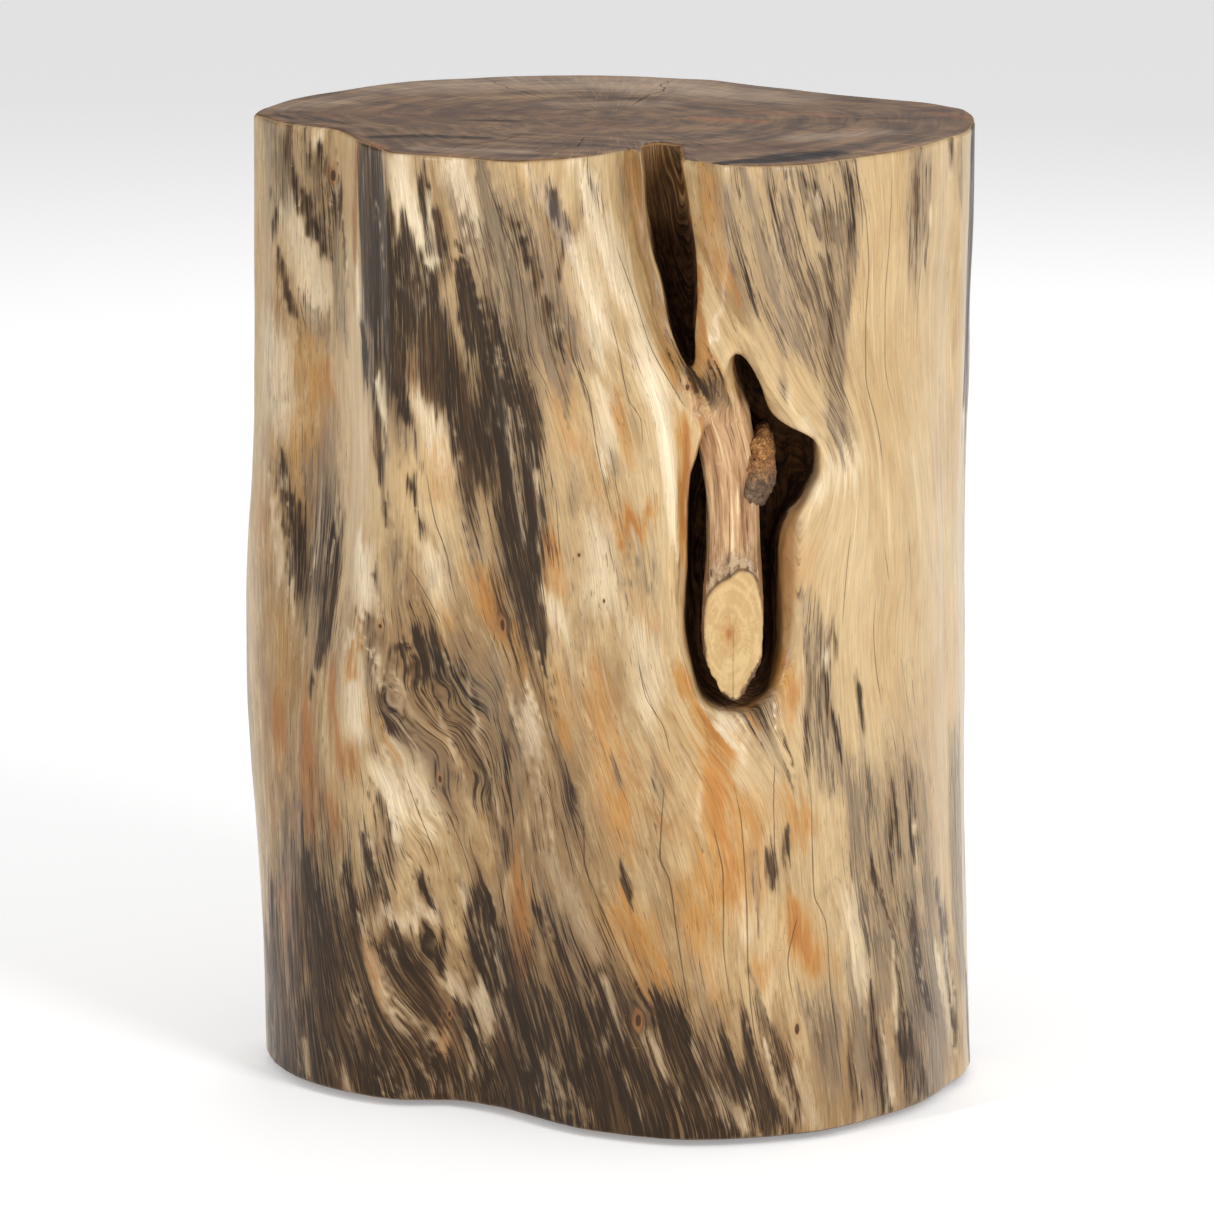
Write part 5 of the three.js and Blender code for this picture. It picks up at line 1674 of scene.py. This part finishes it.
def wood_material(name):
    m = Mat(name)
    flow, ringv = m.attr("flow"), m.attr("ringv")
    D, G, O = m.split(m.attr("m1"))
    R, Y, pit_dark_and_shade = m.split(m.attr("m2"))
    top, bot, saw = m.split(m.attr("m3"))
    br, saw_sd, deep = m.split(m.attr("m4"))
    B, weld, brown_in = m.split(m.attr("m5"))
    end = m.add(top, bot, clamp=True)

    # fibres: broad bands, streaks and single fibres, all along the grain
    broad = m.grain(flow, 34, 150, 2, 0.55, seed=1)
    band = m.grain(flow, 11, 105, 2, 0.55, 0.25, seed=2)
    streak = m.grain(flow, 3.6, 62, 2, 0.6, 0.3, seed=3)
    fine = m.grain(flow, 1.25, 34, 2, 0.6, 0.25, seed=4)
    hair = m.grain(flow, 0.55, 17, 1, 0.5, 0.15, seed=5)
    fleck = m.grain(flow, 0.8, 5.5, 1, 0.5, seed=6)
    cloud = m.grain(flow, 26, 42, 3, 0.6, seed=7)
    patch = m.grain(flow, 9, 24, 3, 0.62, 0.5, seed=8)

    # clean wood
    col = m.mix(m.step(-0.8, 0.8, m.add(m.mul(broad, 0.6), m.mul(cloud, 0.5))), rgb(*BASE_A), rgb(*BASE_B))
    col = m.mix(m.mul(m.step(0.0, 0.8, m.add(m.mul(band, 0.6), m.mul(patch, 0.4))), 0.6), col, rgb(*BASE_C))
    col = m.mix(m.mul(m.step(0.1, 0.8, m.add(m.mul(cloud, 0.7), m.mul(streak, 0.3))), 0.45), col, rgb(*BASE_D))
    b = m.add(B, m.mul(B, m.add(m.mul(streak, 0.5), m.mul(fine, 0.3), m.mul(patch, 0.5))))
    b = m.add(b, m.mul(m.step(0.1, 0.9, m.add(m.mul(patch, 0.7), m.mul(band, 0.3))), B, 0.5))
    col = m.mix(m.step(0.0, 0.8, b, 0.0, 0.8), col, rgb(*WASH))
    # pale wood from the Y strokes; on the crests of the rolls, the ridge and the bulge named in the key above MARKS
    # this is painted highlight
    pale = m.add(Y, m.mul(m.step(0.25, 0.9, m.add(streak, m.mul(patch, 0.3))), 0.25))
    col = m.mix(m.mul(pale, m.step(0.2, 0.9, B, 0.8, 0.3)), col, rgb(*PALE_AND_HIGHLIGHT))
    # orange and rust
    o = m.add(O, m.mul(O, m.add(m.mul(streak, 0.3), m.mul(patch, 0.45), m.mul(cloud, 0.3))))
    col = m.mix(m.step(0.05, 0.9, o, 0.0, 0.9), col, rgb(*ORANGE))
    col = m.mix(m.step(0.6, 1.2, o, 0.0, 0.75), col, rgb(*ORANGE2))
    rl = m.add(m.mul(streak, 0.6), m.mul(fine, 0.45), m.mul(patch, 0.35), m.mul(hair, 0.2))
    t = m.math("MULTIPLY_ADD", R, -1.5, 0.85)
    r = m.mul(m.step(m.math("SUBTRACT", t, 0.6), m.add(t, 0.6), rl), m.step(0.02, 0.3, R))
    col = m.mix(m.mul(m.step(0.0, 0.8, R), 0.4), col, rgb(*ORANGE))
    col = m.mix(m.mul(r, 0.72), col, rgb(*RUST))
    # single fibres lighter and darker
    aged = m.add(0.35, m.mul(B, 1.3), m.mul(G, 0.4), clamp=True)
    fib = m.add(m.mul(streak, 0.06), m.mul(fine, 0.16), m.mul(hair, 0.19), m.mul(band, 0.05))
    col = m.tint(col, m.add(1.0, m.mul(fib, m.add(0.55, m.mul(aged, 0.7)))))
    tick = m.mul(m.step(0.4, 1.0, m.add(m.mul(fleck, 0.8), m.mul(hair, 0.35))), aged, 0.6)
    col = m.mix(tick, col, rgb(*TICK))
    thread = m.mul(m.step(0.25, 0.8, m.add(m.mul(fine, 0.6), m.mul(hair, 0.4), m.mul(band, 0.2), m.mul(patch, 0.2))), aged, 0.85)
    col = m.mix(thread, col, rgb(*THREAD))
    # grey veil: thin grey fibres, few where it is weak and close together where it is strong
    lines = m.add(m.mul(fine, 0.62), m.mul(hair, 0.70), m.mul(streak, 0.46), m.mul(band, 0.15), m.mul(fleck, 0.18))
    clear = m.mul(Y, 0.5)
    gg = m.math("SUBTRACT", m.add(G, m.mul(G, patch, 0.35)), clear)
    t = m.math("MULTIPLY_ADD", gg, -1.35, 1.0)
    veil = m.step(m.math("SUBTRACT", t, 0.4), m.add(t, 0.4), lines)
    grey = m.mix(m.step(-0.5, 0.7, m.add(streak, m.mul(patch, 0.6))), rgb(*GREY_A), rgb(*GREY_B))
    col = m.mix(m.mul(m.step(0.0, 0.7, gg), 0.38), col, rgb(*GREY_B))
    col = m.mix(m.mul(veil, m.step(0.02, 0.2, gg), 0.85), col, grey)
    # dark stain: the same, but it closes up where it is strong
    dd = m.math("SUBTRACT", m.add(D, m.mul(D, m.add(m.mul(patch, 0.2), m.mul(band, 0.1)))), clear)
    haze = m.step(0.0, 0.8, dd)
    col = m.mix(m.mul(haze, 0.78), col, rgb(*STAIN_C))
    t = m.math("MULTIPLY_ADD", dd, -1.8, 1.0)
    stain = m.step(m.math("SUBTRACT", t, 0.45), m.add(t, 0.45), lines)
    dark = m.mix(m.step(-0.7, 0.9, m.add(m.mul(streak, -0.5), m.mul(fine, 0.4), m.mul(patch, 0.6), m.mul(band, 0.3))), rgb(*STAIN_B), rgb(*STAIN_A))
    dark = m.mix(m.mul(m.step(0.6, 1.2, m.add(dd, m.mul(lines, 0.35))), 0.75), dark, rgb(*STAIN_D))
    dark = m.mix(m.mul(m.step(0.1, 0.7, m.add(m.mul(hair, 0.5), m.mul(fine, -0.5), m.mul(band, 0.6), m.mul(patch, 0.35))), 0.62), dark, rgb(*STAIN_E))
    soft = m.mul(stain, m.step(0.02, 0.2, dd))
    col = m.mix(m.mul(soft, 0.88), col, dark)

    # the sawn ends: rings, rays, brown heart
    ring1 = m.grain(m.scale(ringv, 1.6, 1.6, 1 / 2.3), 1, 1, 1, 0.5, 0.25, seed=11)
    ring2 = m.grain(m.scale(ringv, 2.4, 2.4, 1 / 7.5), 1, 1, 2, 0.55, 0.3, seed=12)
    ray = m.grain(m.scale(ringv, 52, 52, 1 / 26), 1, 1, 1, 0.5, seed=13)
    mottle = m.noise(m.scale(m.attr("place"), 1 / 21, 1 / 21, 1 / 21), 4, 0.62)
    mottle = m.math("MULTIPLY_ADD", mottle, 4.0, -2.0)
    e = m.mix(m.step(-0.9, 0.9, m.add(m.mul(ring2, 0.7), m.mul(mottle, 0.8))), rgb(*END_A), rgb(*END_B))
    e = m.mix(m.mul(m.step(0.2, 0.9, m.add(ring1, m.mul(mottle, 0.3))), 0.5), e, rgb(*END_C))
    e = m.mix(m.mul(m.step(0.35, 1.0, ray), 0.35), e, rgb(*END_D))
    e = m.mix(m.mul(O, 0.75), e, rgb(*END_O))
    e = m.mix(m.mul(R, 0.7), e, rgb(*END_R))
    # grey on the seat face: grey stain, and painted sheen along its far edge
    e = m.mix(m.mul(m.step(0.0, 1.0, m.add(G, m.mul(G, m.add(m.mul(ring1, 0.12), m.mul(mottle, 0.2))))), 0.62), e, rgb(*END_GREY_AND_SHEEN))
    e = m.mix(m.mul(Y, 0.8), e, rgb(*END_Y))
    ds = m.add(D, m.mul(D, m.add(m.mul(ring1, 0.35), m.mul(ray, 0.3), m.mul(mottle, 0.35))))
    e = m.mix(m.step(0.25, 0.8, ds, 0.0, 0.92), e, rgb(*END_K))
    e = m.tint(e, m.add(1.0, m.mul(ring1, 0.16), m.mul(ring2, 0.12), m.mul(ray, 0.14), m.mul(mottle, 0.12)))
    e = m.mix(m.mul(bot, 0.5), e, rgb(*END_K))
    col = m.mix(end, col, e)

    # inside the cleft and the hollow: dark bark and rot, laid darker with depth as painted shade, with lighter fibres
    # near the mouth; and the rind of the branch
    craw = m.grain(flow, 2.2, 24, 3, 0.62, 0.4, seed=21)
    crumb = m.math("MULTIPLY_ADD", m.noise(m.scale(m.attr("place"), 0.34, 0.34, 0.2), 3, 0.65), 4.0, -2.0)
    c = m.mix(m.step(-0.6, 0.8, m.add(craw, m.mul(crumb, 0.5))), rgb(*CAV_A), rgb(*CAV_B))
    brown = m.mix(m.step(-0.5, 0.7, m.add(craw, m.mul(streak, 0.4))), rgb(120, 80, 48), rgb(208, 158, 102))
    brown = m.mix(m.mul(m.step(0.3, 0.9, craw), 0.7), brown, rgb(244, 204, 146))
    c = m.mix(m.mul(brown_in, m.step(0.9, 0.2, m.math("SUBTRACT", pit_dark_and_shade, m.mul(craw, 0.25)))), c, brown)
    c = m.mix(m.mul(m.step(0.35, 1.0, craw), m.step(26, 6, deep), 0.75), c, rgb(*CAV_C))
    pit_dark_and_shade_mask = m.step(0.06, 0.7, m.add(pit_dark_and_shade, m.mul(pit_dark_and_shade, m.add(m.mul(craw, 0.35), m.mul(crumb, 0.2)))))
    lip = m.mul(m.step(0.0, 0.22, pit_dark_and_shade), m.step(0.75, 0.2, pit_dark_and_shade))
    col = m.mix(m.mul(lip, 0.55), col, rgb(*LIP))
    col = m.mix(pit_dark_and_shade_mask, col, c)
    bx = m.mix(m.step(-0.8, 0.7, m.add(m.mul(craw, 0.8), m.mul(streak, 0.4))), rgb(*BR_A), rgb(*BR_B))
    bx = m.mix(m.mul(m.step(0.25, 0.9, m.add(streak, m.mul(fine, 0.4))), 0.65), bx, rgb(*BR_C))
    bx = m.mix(m.mul(m.step(0.1, 0.8, m.add(m.mul(band, 0.5), m.mul(crumb, 0.25), m.mul(streak, -0.5))), 0.7), bx, rgb(*BR_D))
    bx = m.mix(m.mul(m.step(0.2, 0.7, m.add(m.mul(fine, -0.8), m.mul(hair, 0.4))), 0.75), bx, rgb(*BR_E))
    shade = m.mul(m.step(0.25, 1.0, deep), br, m.step(10.0, 19.0, saw_sd, 1.0, 0.0))
    col = m.mix(br, col, bx)
    col = m.mix(m.mul(shade, 0.85), col, rgb(*CAV_B))

    # the sawn face of the branch: pale wood with an orange heart inside dark bark
    sr = m.grain(m.scale(ringv, 2.0, 2.0, 1 / 1.5), 1, 1, 1, 0.5, 0.2, seed=31)
    sray = m.grain(m.scale(ringv, 14, 14, 1 / 9), 1, 1, 1, 0.5, seed=32)
    pq = m.split(ringv)[2]
    sc = m.mix(m.step(-0.6, 0.8, m.add(sr, m.mul(sray, 0.5))), rgb(*SAW_A), rgb(*SAW_B))
    sc = m.mix(m.mul(m.step(6.5, 1.0, m.add(pq, m.mul(sray, 1.2))), 0.6), sc, rgb(*SAW_C))
    sc = m.mix(m.mul(m.step(2.2, 0.4, m.add(pq, m.mul(sray, 0.4))), 0.8), sc, rgb(*SAW_D))
    sc = m.mix(m.mul(m.step(0.45, 1.0, sray), m.step(8.5, 3.0, pq), 0.55), sc, rgb(*SAW_E))
    sc = m.mix(m.mul(m.step(0.35, 1.1, m.add(crumb, m.mul(m.grain(m.attr("place"), 5.5, 5.5, 1, seed=33), 0.5))), 0.6), sc, rgb(*SAW_C))
    low = m.step(246, 226, m.split(m.attr("place"))[2])
    edge = m.add(saw_sd, m.mul(crumb, m.add(0.35, m.mul(low, 0.9))), m.mul(sray, 0.3), m.mul(low, 0.35))
    high = m.step(236, 256, m.split(m.attr("place"))[2])
    bk = m.mix(m.step(-0.5, 0.8, m.add(crumb, m.mul(high, 0.7))), rgb(*BARK_A), rgb(*BARK_B))
    bk = m.mix(m.mul(m.step(0.2, 0.9, m.add(m.mul(crumb, 0.6), m.mul(craw, 0.4), m.mul(high, 0.6))), m.step(0.4, 1.6, saw_sd), 0.75), bk, rgb(*BARK_C))
    sc = m.mix(m.step(-1.3, -0.2, edge, 0.0, 0.55), sc, rgb(*SAW_E))
    sc = m.mix(m.step(-0.35, 0.35, edge), sc, bk)
    col = m.mix(saw, col, sc)

    # cracks and small holes
    ckd, ckw = m.split(m.attr("ckd")), m.split(m.attr("ckw"))
    wob = m.mul(streak, 0.16)
    crack = 0.0
    for d, w in zip(ckd, ckw):
        ww = m.mul(w, m.add(1.0, m.mul(fleck, 0.3)))
        line = m.math("SUBTRACT", ww, m.math("ABSOLUTE", m.add(d, wob)))
        crack = m.math("MAXIMUM", crack, m.mul(m.step(-0.12, 0.14, line), m.step(0.02, 0.12, w)))
    hx, hz, on = m.split(m.attr("hole"))
    hq = m.math("SQRT", m.add(m.mul(hx, hx), m.mul(hz, hz)))
    hq = m.add(hq, m.mul(fleck, 0.10), m.mul(crumb, 0.10))
    big = m.step(1.4, 1.6, on)
    small = m.mul(m.step(1.12, 0.72, hq), m.step(0.3, 0.6, on))
    halo = m.mul(m.step(2.6, 1.0, hq), m.step(0.3, 0.6, on), 0.5)
    knot = m.mul(m.step(1.3, 1.1, hq), big)
    kr = m.math("SINE", m.mul(hq, 30.0))
    kc = m.mix(m.step(-0.6, 0.9, m.add(kr, m.mul(crumb, 0.6))), rgb(*KNOT_A), rgb(*KNOT_B))
    kc = m.mix(m.step(0.95, 1.1, hq, 0.0, 0.8), kc, rgb(*BARK_A))
    kc = m.mix(m.step(0.34, 0.18, hq, 0.0, 0.9), kc, rgb(*BARK_A))
    col = m.mix(m.mul(halo, m.inv(end)), col, rgb(*HALO))
    col = m.mix(m.mul(small, m.inv(big), 0.92), col, rgb(*CRACK))
    col = m.mix(knot, col, kc)
    col = m.mix(m.mul(crack, m.add(0.5, m.mul(aged, 0.2))), col, rgb(*CRACK))
    m.put(m.bsdf.inputs["Base Color"], col)

    # surface: open pores and fibres, cracks cut in, bare wood rough inside the pits
    rough = m.add(0.34, m.mul(streak, 0.03), m.mul(fine, 0.035), m.mul(soft, 0.07), m.mul(end, 0.3))
    rough = m.mixv(m.math("MAXIMUM", pit_dark_and_shade_mask, m.mul(br, 0.35)), rough, 0.82)
    rough = m.mixv(m.math("MAXIMUM", crack, small), rough, 0.9)
    m.put(m.bsdf.inputs["Roughness"], m.math("MINIMUM", m.math("MAXIMUM", rough, 0.2), 0.95))
    h = m.add(m.mul(fine, 0.16), m.mul(hair, 0.10), m.mul(fleck, 0.06), m.mul(streak, 0.2))
    h = m.mixv(end, h, m.add(m.mul(ring1, 0.16), m.mul(ray, 0.16)))
    h = m.mixv(saw, h, m.add(m.mul(sr, 0.2), m.mul(crumb, m.step(-0.5, 0.5, saw_sd, 0.05, 1.0))))
    h = m.add(h, m.mul(m.math("MAXIMUM", pit_dark_and_shade_mask, m.mul(br, 0.7)), m.add(m.mul(craw, 0.8), m.mul(crumb, 0.5))))
    h = m.math("SUBTRACT", h, m.mul(m.math("MAXIMUM", crack, small), 2.2))
    m.put(m.bsdf.inputs["Normal"], m.bump(h, 0.22, 0.85))
    m.bsdf.inputs["IOR"].default_value = 1.22
    dull = m.math("MAXIMUM", m.mul(soft, 0.8), m.mul(m.step(0.35, 0.9, aged), 0.55))
    m.put(m.bsdf.inputs["Coat Weight"], m.mul(0.5, m.inv(m.mul(end, 0.8)), m.inv(dull), m.inv(pit_dark_and_shade_mask), m.inv(m.mul(br, 0.5))))
    m.bsdf.inputs["Coat Roughness"].default_value = 0.17
    return m.m


BASE_A, BASE_B, BASE_C, BASE_D = (188, 156, 109), (207, 181, 138), (176, 140, 94), (200, 165, 115)
PALE_AND_HIGHLIGHT, ORANGE, ORANGE2, RUST, WASH = (237, 220, 188), (180, 132, 72), (172, 112, 50), (158, 96, 40), (134, 101, 62)
TICK, THREAD = (86, 62, 40), (110, 80, 50)
GREY_A, GREY_B = (72, 58, 46), (132, 113, 90)
STAIN_A, STAIN_B, STAIN_C, STAIN_D, STAIN_E = (50, 33, 20), (20, 13, 8), (98, 71, 43), (9, 6, 4), (94, 68, 42)
END_A, END_B, END_C, END_D, END_O, END_R, END_GREY_AND_SHEEN, END_Y, END_K = (78, 49, 28), (134, 99, 64), (40, 25, 14), (162, 128, 90), (166, 98, 44), (98, 52, 27), (186, 160, 134), (172, 138, 96), (18, 12, 8)
# CAV_A, the near black deep in the cleft and the hollow, is partly dark bark and partly painted shade
CAV_A, CAV_B, CAV_C, LIP = (34, 22, 13), (104, 70, 42), (170, 118, 66), (160, 110, 60)
BR_A, BR_B, BR_C, BR_D, BR_E = (150, 110, 75), (208, 170, 126), (232, 208, 168), (104, 62, 36), (50, 29, 18)
SAW_A, SAW_B, SAW_C, SAW_D, SAW_E = (186, 154, 105), (200, 170, 121), (180, 130, 76), (160, 96, 46), (128, 88, 52)
BARK_A, BARK_B, BARK_C = (44, 31, 21), (116, 90, 64), (194, 166, 130)
KNOT_A, KNOT_B, HALO, CRACK = (104, 68, 42), (148, 108, 68), (156, 104, 58), (62, 42, 27)


def bark_material(name):
    m = Mat(name)
    p = m.attr("place")
    a = m.math("MULTIPLY_ADD", m.noise(m.scale(p, 0.3, 0.22, 0.28), 4, 0.65), 4.0, -2.0)
    b = m.math("MULTIPLY_ADD", m.noise(m.scale(p, 1.1, 0.8, 1.0, (3, 5, 1)), 3, 0.6), 4.0, -2.0)
    up = m.step(306, 322, m.add(m.split(p)[2], m.mul(a, 5.0)))
    col = m.mix(m.step(-0.7, 0.8, m.add(a, m.mul(b, 0.4))), rgb(78, 58, 43), rgb(134, 108, 84))
    warm = m.mix(m.step(-0.5, 0.8, m.add(b, m.mul(a, 0.5))), rgb(132, 82, 38), rgb(202, 148, 80))
    col = m.mix(m.mul(up, 0.85), col, warm)
    col = m.mix(m.step(0.5, 1.1, m.math("MULTIPLY", b, -1.0), 0.0, 0.55), col, rgb(40, 27, 18))
    m.put(m.bsdf.inputs["Base Color"], col)
    m.put(m.bsdf.inputs["Roughness"], m.math("MULTIPLY_ADD", b, 0.05, 0.86))
    m.put(m.bsdf.inputs["Normal"], m.bump(m.add(m.mul(b, 0.6), m.mul(a, 0.4)), 0.5, 0.9))
    return m.m


def nylon_material(name):
    m = Mat(name)
    p = m.attr("place")
    a = m.noise(m.scale(p, 0.25, 0.25, 0.25), 3, 0.6)
    b = m.noise(m.scale(p, 3.0, 3.0, 3.0), 2, 0.5)
    col = m.mix(a, rgb(214, 208, 194), rgb(228, 224, 212))
    scuff = m.step(0.58, 0.72, m.noise(m.scale(p, 0.9, 0.15, 0.4), 3, 0.6))
    col = m.mix(m.mul(scuff, 0.35), col, rgb(170, 160, 142))
    m.put(m.bsdf.inputs["Base Color"], col)
    m.put(m.bsdf.inputs["Roughness"], m.math("MULTIPLY_ADD", b, 0.2, 0.42))
    m.put(m.bsdf.inputs["Normal"], m.bump(b, 0.04, 0.5))
    return m.m


def zinc_material(name):
    m = Mat(name)
    p = m.attr("place")
    a = m.noise(m.scale(p, 0.8, 0.8, 0.8), 3, 0.6)
    b = m.noise(m.scale(p, 5.0, 5.0, 5.0), 2, 0.5)
    m.put(m.bsdf.inputs["Base Color"], m.mix(a, rgb(172, 176, 182), rgb(206, 208, 210)))
    m.bsdf.inputs["Metallic"].default_value = 1.0
    m.put(m.bsdf.inputs["Roughness"], m.math("MULTIPLY_ADD", a, 0.3, 0.2))
    m.put(m.bsdf.inputs["Normal"], m.bump(b, 0.03, 0.4))
    return m.m


# ------------------------------------------------------------------------------------------------ the pieces


def dress(ob, node, mat):
    ob.data.materials.append(mat)
    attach(ob, "root")
    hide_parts(node)


wood = wood_material("spalted_wood_coated")
v, quads, tris = build_log()
v, quads, tris = largest_shell(v, quads, tris)
log = make_mesh("log", v, quads, tris)
wood_fields(log, v, False)
dress(log, "log_body", wood)

v, quads = grid_piece((36, -180, 198), (80, -108, 359), 0.8, stub_sd)
v, quads = largest_shell(v, quads)
stub = make_mesh("branch_in_hollow", v, quads)
wood_fields(stub, v, True)
dress(stub, "branch_stub", wood)

v, quads = grid_piece((58, -152, 288), (84, -98, 338), 0.7, lump_sd)
v, quads = largest_shell(v, quads)
lump = make_mesh("ingrown_bark_lump", v, quads)
put(lump, place=v)
dress(lump, "bark_remnant", bark_material("crumbly_bark"))


def lathe(name, profile, cx, cy, n=64):
    """A turned piece from (radius, z) points, the first and the last of them on the axis."""
    a = np.arange(n) / n * 2 * np.pi
    verts = [np.array([[cx, cy, profile[0][1]], [cx, cy, profile[-1][1]]])]
    for r, z in profile[1:-1]:
        verts.append(np.stack([cx + r * np.cos(a), cy + r * np.sin(a), np.full(n, z)], 1))
    p = np.concatenate(verts)
    m = len(profile) - 2
    i = np.arange(n)
    j = (i + 1) % n
    quads = np.concatenate([np.stack([2 + k * n + i, 2 + k * n + j, 2 + (k + 1) * n + j, 2 + (k + 1) * n + i], 1) for k in range(m - 1)])
    tris = np.concatenate([np.stack([np.zeros(n, int), 2 + j, 2 + i], 1), np.stack([np.ones(n, int), 2 + (m - 1) * n + i, 2 + (m - 1) * n + j], 1)])
    return make_mesh(name, p, quads, tris), p


def arc(cr, cz, r, a0, a1, n=6):
    return [(cr + r * math.cos(math.radians(t)), cz + r * math.sin(math.radians(t))) for t in np.linspace(a0, a1, n)]


nylon, zinc = nylon_material("glide_nylon"), zinc_material("nail_zinc")
for k in range(1, 5):
    lo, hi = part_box("glide_%d" % k)
    cx, cy = (lo[0] + hi[0]) * 500, (lo[1] + hi[1]) * 500
    prof = [(0, 2.1), (4.1, 2.1)] + arc(4.1, 1.9, 0.2, 90, 0, 3) + [(4.3, 0.5)] + arc(4.9, 0.6, 0.6, 180, 270, 6)[1:] + [(8.6, 0.0)] + arc(9.3, 1.7, 1.7, 270, 360, 9) + arc(10.5, 2.7, 0.5, 0, 90, 5) + [(0, 3.2)]
    g, p = lathe("glide_disc_%d" % k, prof, cx, cy)
    put(g, place=p)
    dress(g, "glide_%d" % k, nylon)
    prof = [(0, 0.8)] + [(3.2 * math.sin(math.radians(t)), 0.8 + 0.95 * (1 - math.cos(math.radians(t)))) for t in (10, 22, 34, 46, 58, 70, 80)] + [(3.2, 1.75), (3.15, 2.0), (1.2, 2.05), (1.1, 2.4), (1.1, 18.0), (0.4, 20.4), (0, 20.9)]
    g, p = lathe("nail_%d" % k, prof, cx, cy, 40)
    put(g, place=p)
    dress(g, "glide_nail_%d" % k, zinc)

# ------------------------------------------------------------------------------------------------ camera, lights, floor
cam = bpy.data.cameras.new("camera")
cam.sensor_fit, cam.sensor_width, cam.lens = "HORIZONTAL", 36.0, 36.0 * FOCAL / PX
cam.clip_start, cam.clip_end = 0.1, 60.0
eye = bpy.data.objects.new("camera", cam)
eye.location = Vector(EYE / 1000)
eye.rotation_euler = (math.pi / 2 - ELEV, 0, 0)
bpy.context.scene.collection.objects.link(eye)
bpy.context.scene.camera = eye


def area_light(name, at, to, wide, high, watts, colour=(1, 1, 1)):
    li = bpy.data.lights.new(name, "AREA")
    li.shape, li.size, li.size_y, li.energy, li.color = "RECTANGLE", wide, high, watts, colour
    ob = bpy.data.objects.new(name, li)
    ob.location = Vector(at)
    ob.rotation_euler = (Vector(to) - Vector(at)).to_track_quat("-Z", "Y").to_euler()
    bpy.context.scene.collection.objects.link(ob)
    return ob


area_light("key", (1.3, -1.9, 1.15), (0.0, -0.05, 0.24), 0.7, 1.9, 37)
area_light("fill", (-1.75, -1.75, 0.95), (0.0, 0.0, 0.26), 0.16, 1.6, 20)
area_light("rim", (0.4, 2.2, 1.7), (0.0, 0.0, 0.35), 1.6, 1.0, 16)

world = bpy.data.worlds.new("studio")
bpy.context.scene.world = world
world.use_nodes = True
sky = world.node_tree.nodes["Background"]
sky.inputs[0].default_value = (1.0, 1.0, 1.0, 1.0)
where = world.node_tree.nodes.new("ShaderNodeTexCoord")
part = world.node_tree.nodes.new("ShaderNodeSeparateXYZ")
rise = world.node_tree.nodes.new("ShaderNodeMapRange")
rise.interpolation_type = "SMOOTHSTEP"
for key, val in (("From Min", 0.12), ("From Max", 0.6), ("To Min", 0.17), ("To Max", 0.56)):
    rise.inputs[key].default_value = val
world.node_tree.links.new(where.outputs["Generated"], part.inputs[0])
world.node_tree.links.new(part.outputs[2], rise.inputs["Value"])
world.node_tree.links.new(rise.outputs[0], sky.inputs[1])
bpy.context.scene.view_settings.view_transform = "Standard"

n = 96
a = np.arange(n) / n * 2 * np.pi
rings = [np.array([[0, 0, 0.0]])] + [np.stack([r * np.cos(a), r * np.sin(a), np.zeros(n)], 1) for r in (400, 1200, 4000, 14000)]
i = np.arange(n)
fq = np.concatenate([np.stack([1 + k * n + i, 1 + (k + 1) * n + i, 1 + (k + 1) * n + (i + 1) % n, 1 + k * n + (i + 1) % n], 1) for k in range(3)])
ft = np.stack([np.zeros(n, int), 1 + i, 1 + (i + 1) % n], 1)
floor = make_mesh("floor", np.concatenate(rings), fq, ft)
fm = Mat("studio_floor")
fm.bsdf.inputs["Base Color"].default_value = (0.93, 0.93, 0.93, 1)
fm.bsdf.inputs["Roughness"].default_value = 0.9
fm.bsdf.inputs["Emission Color"].default_value = (1, 1, 1, 1)
fm.bsdf.inputs["Emission Strength"].default_value = 0.27
floor.data.materials.append(fm.m)
floor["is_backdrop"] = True

lo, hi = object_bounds()
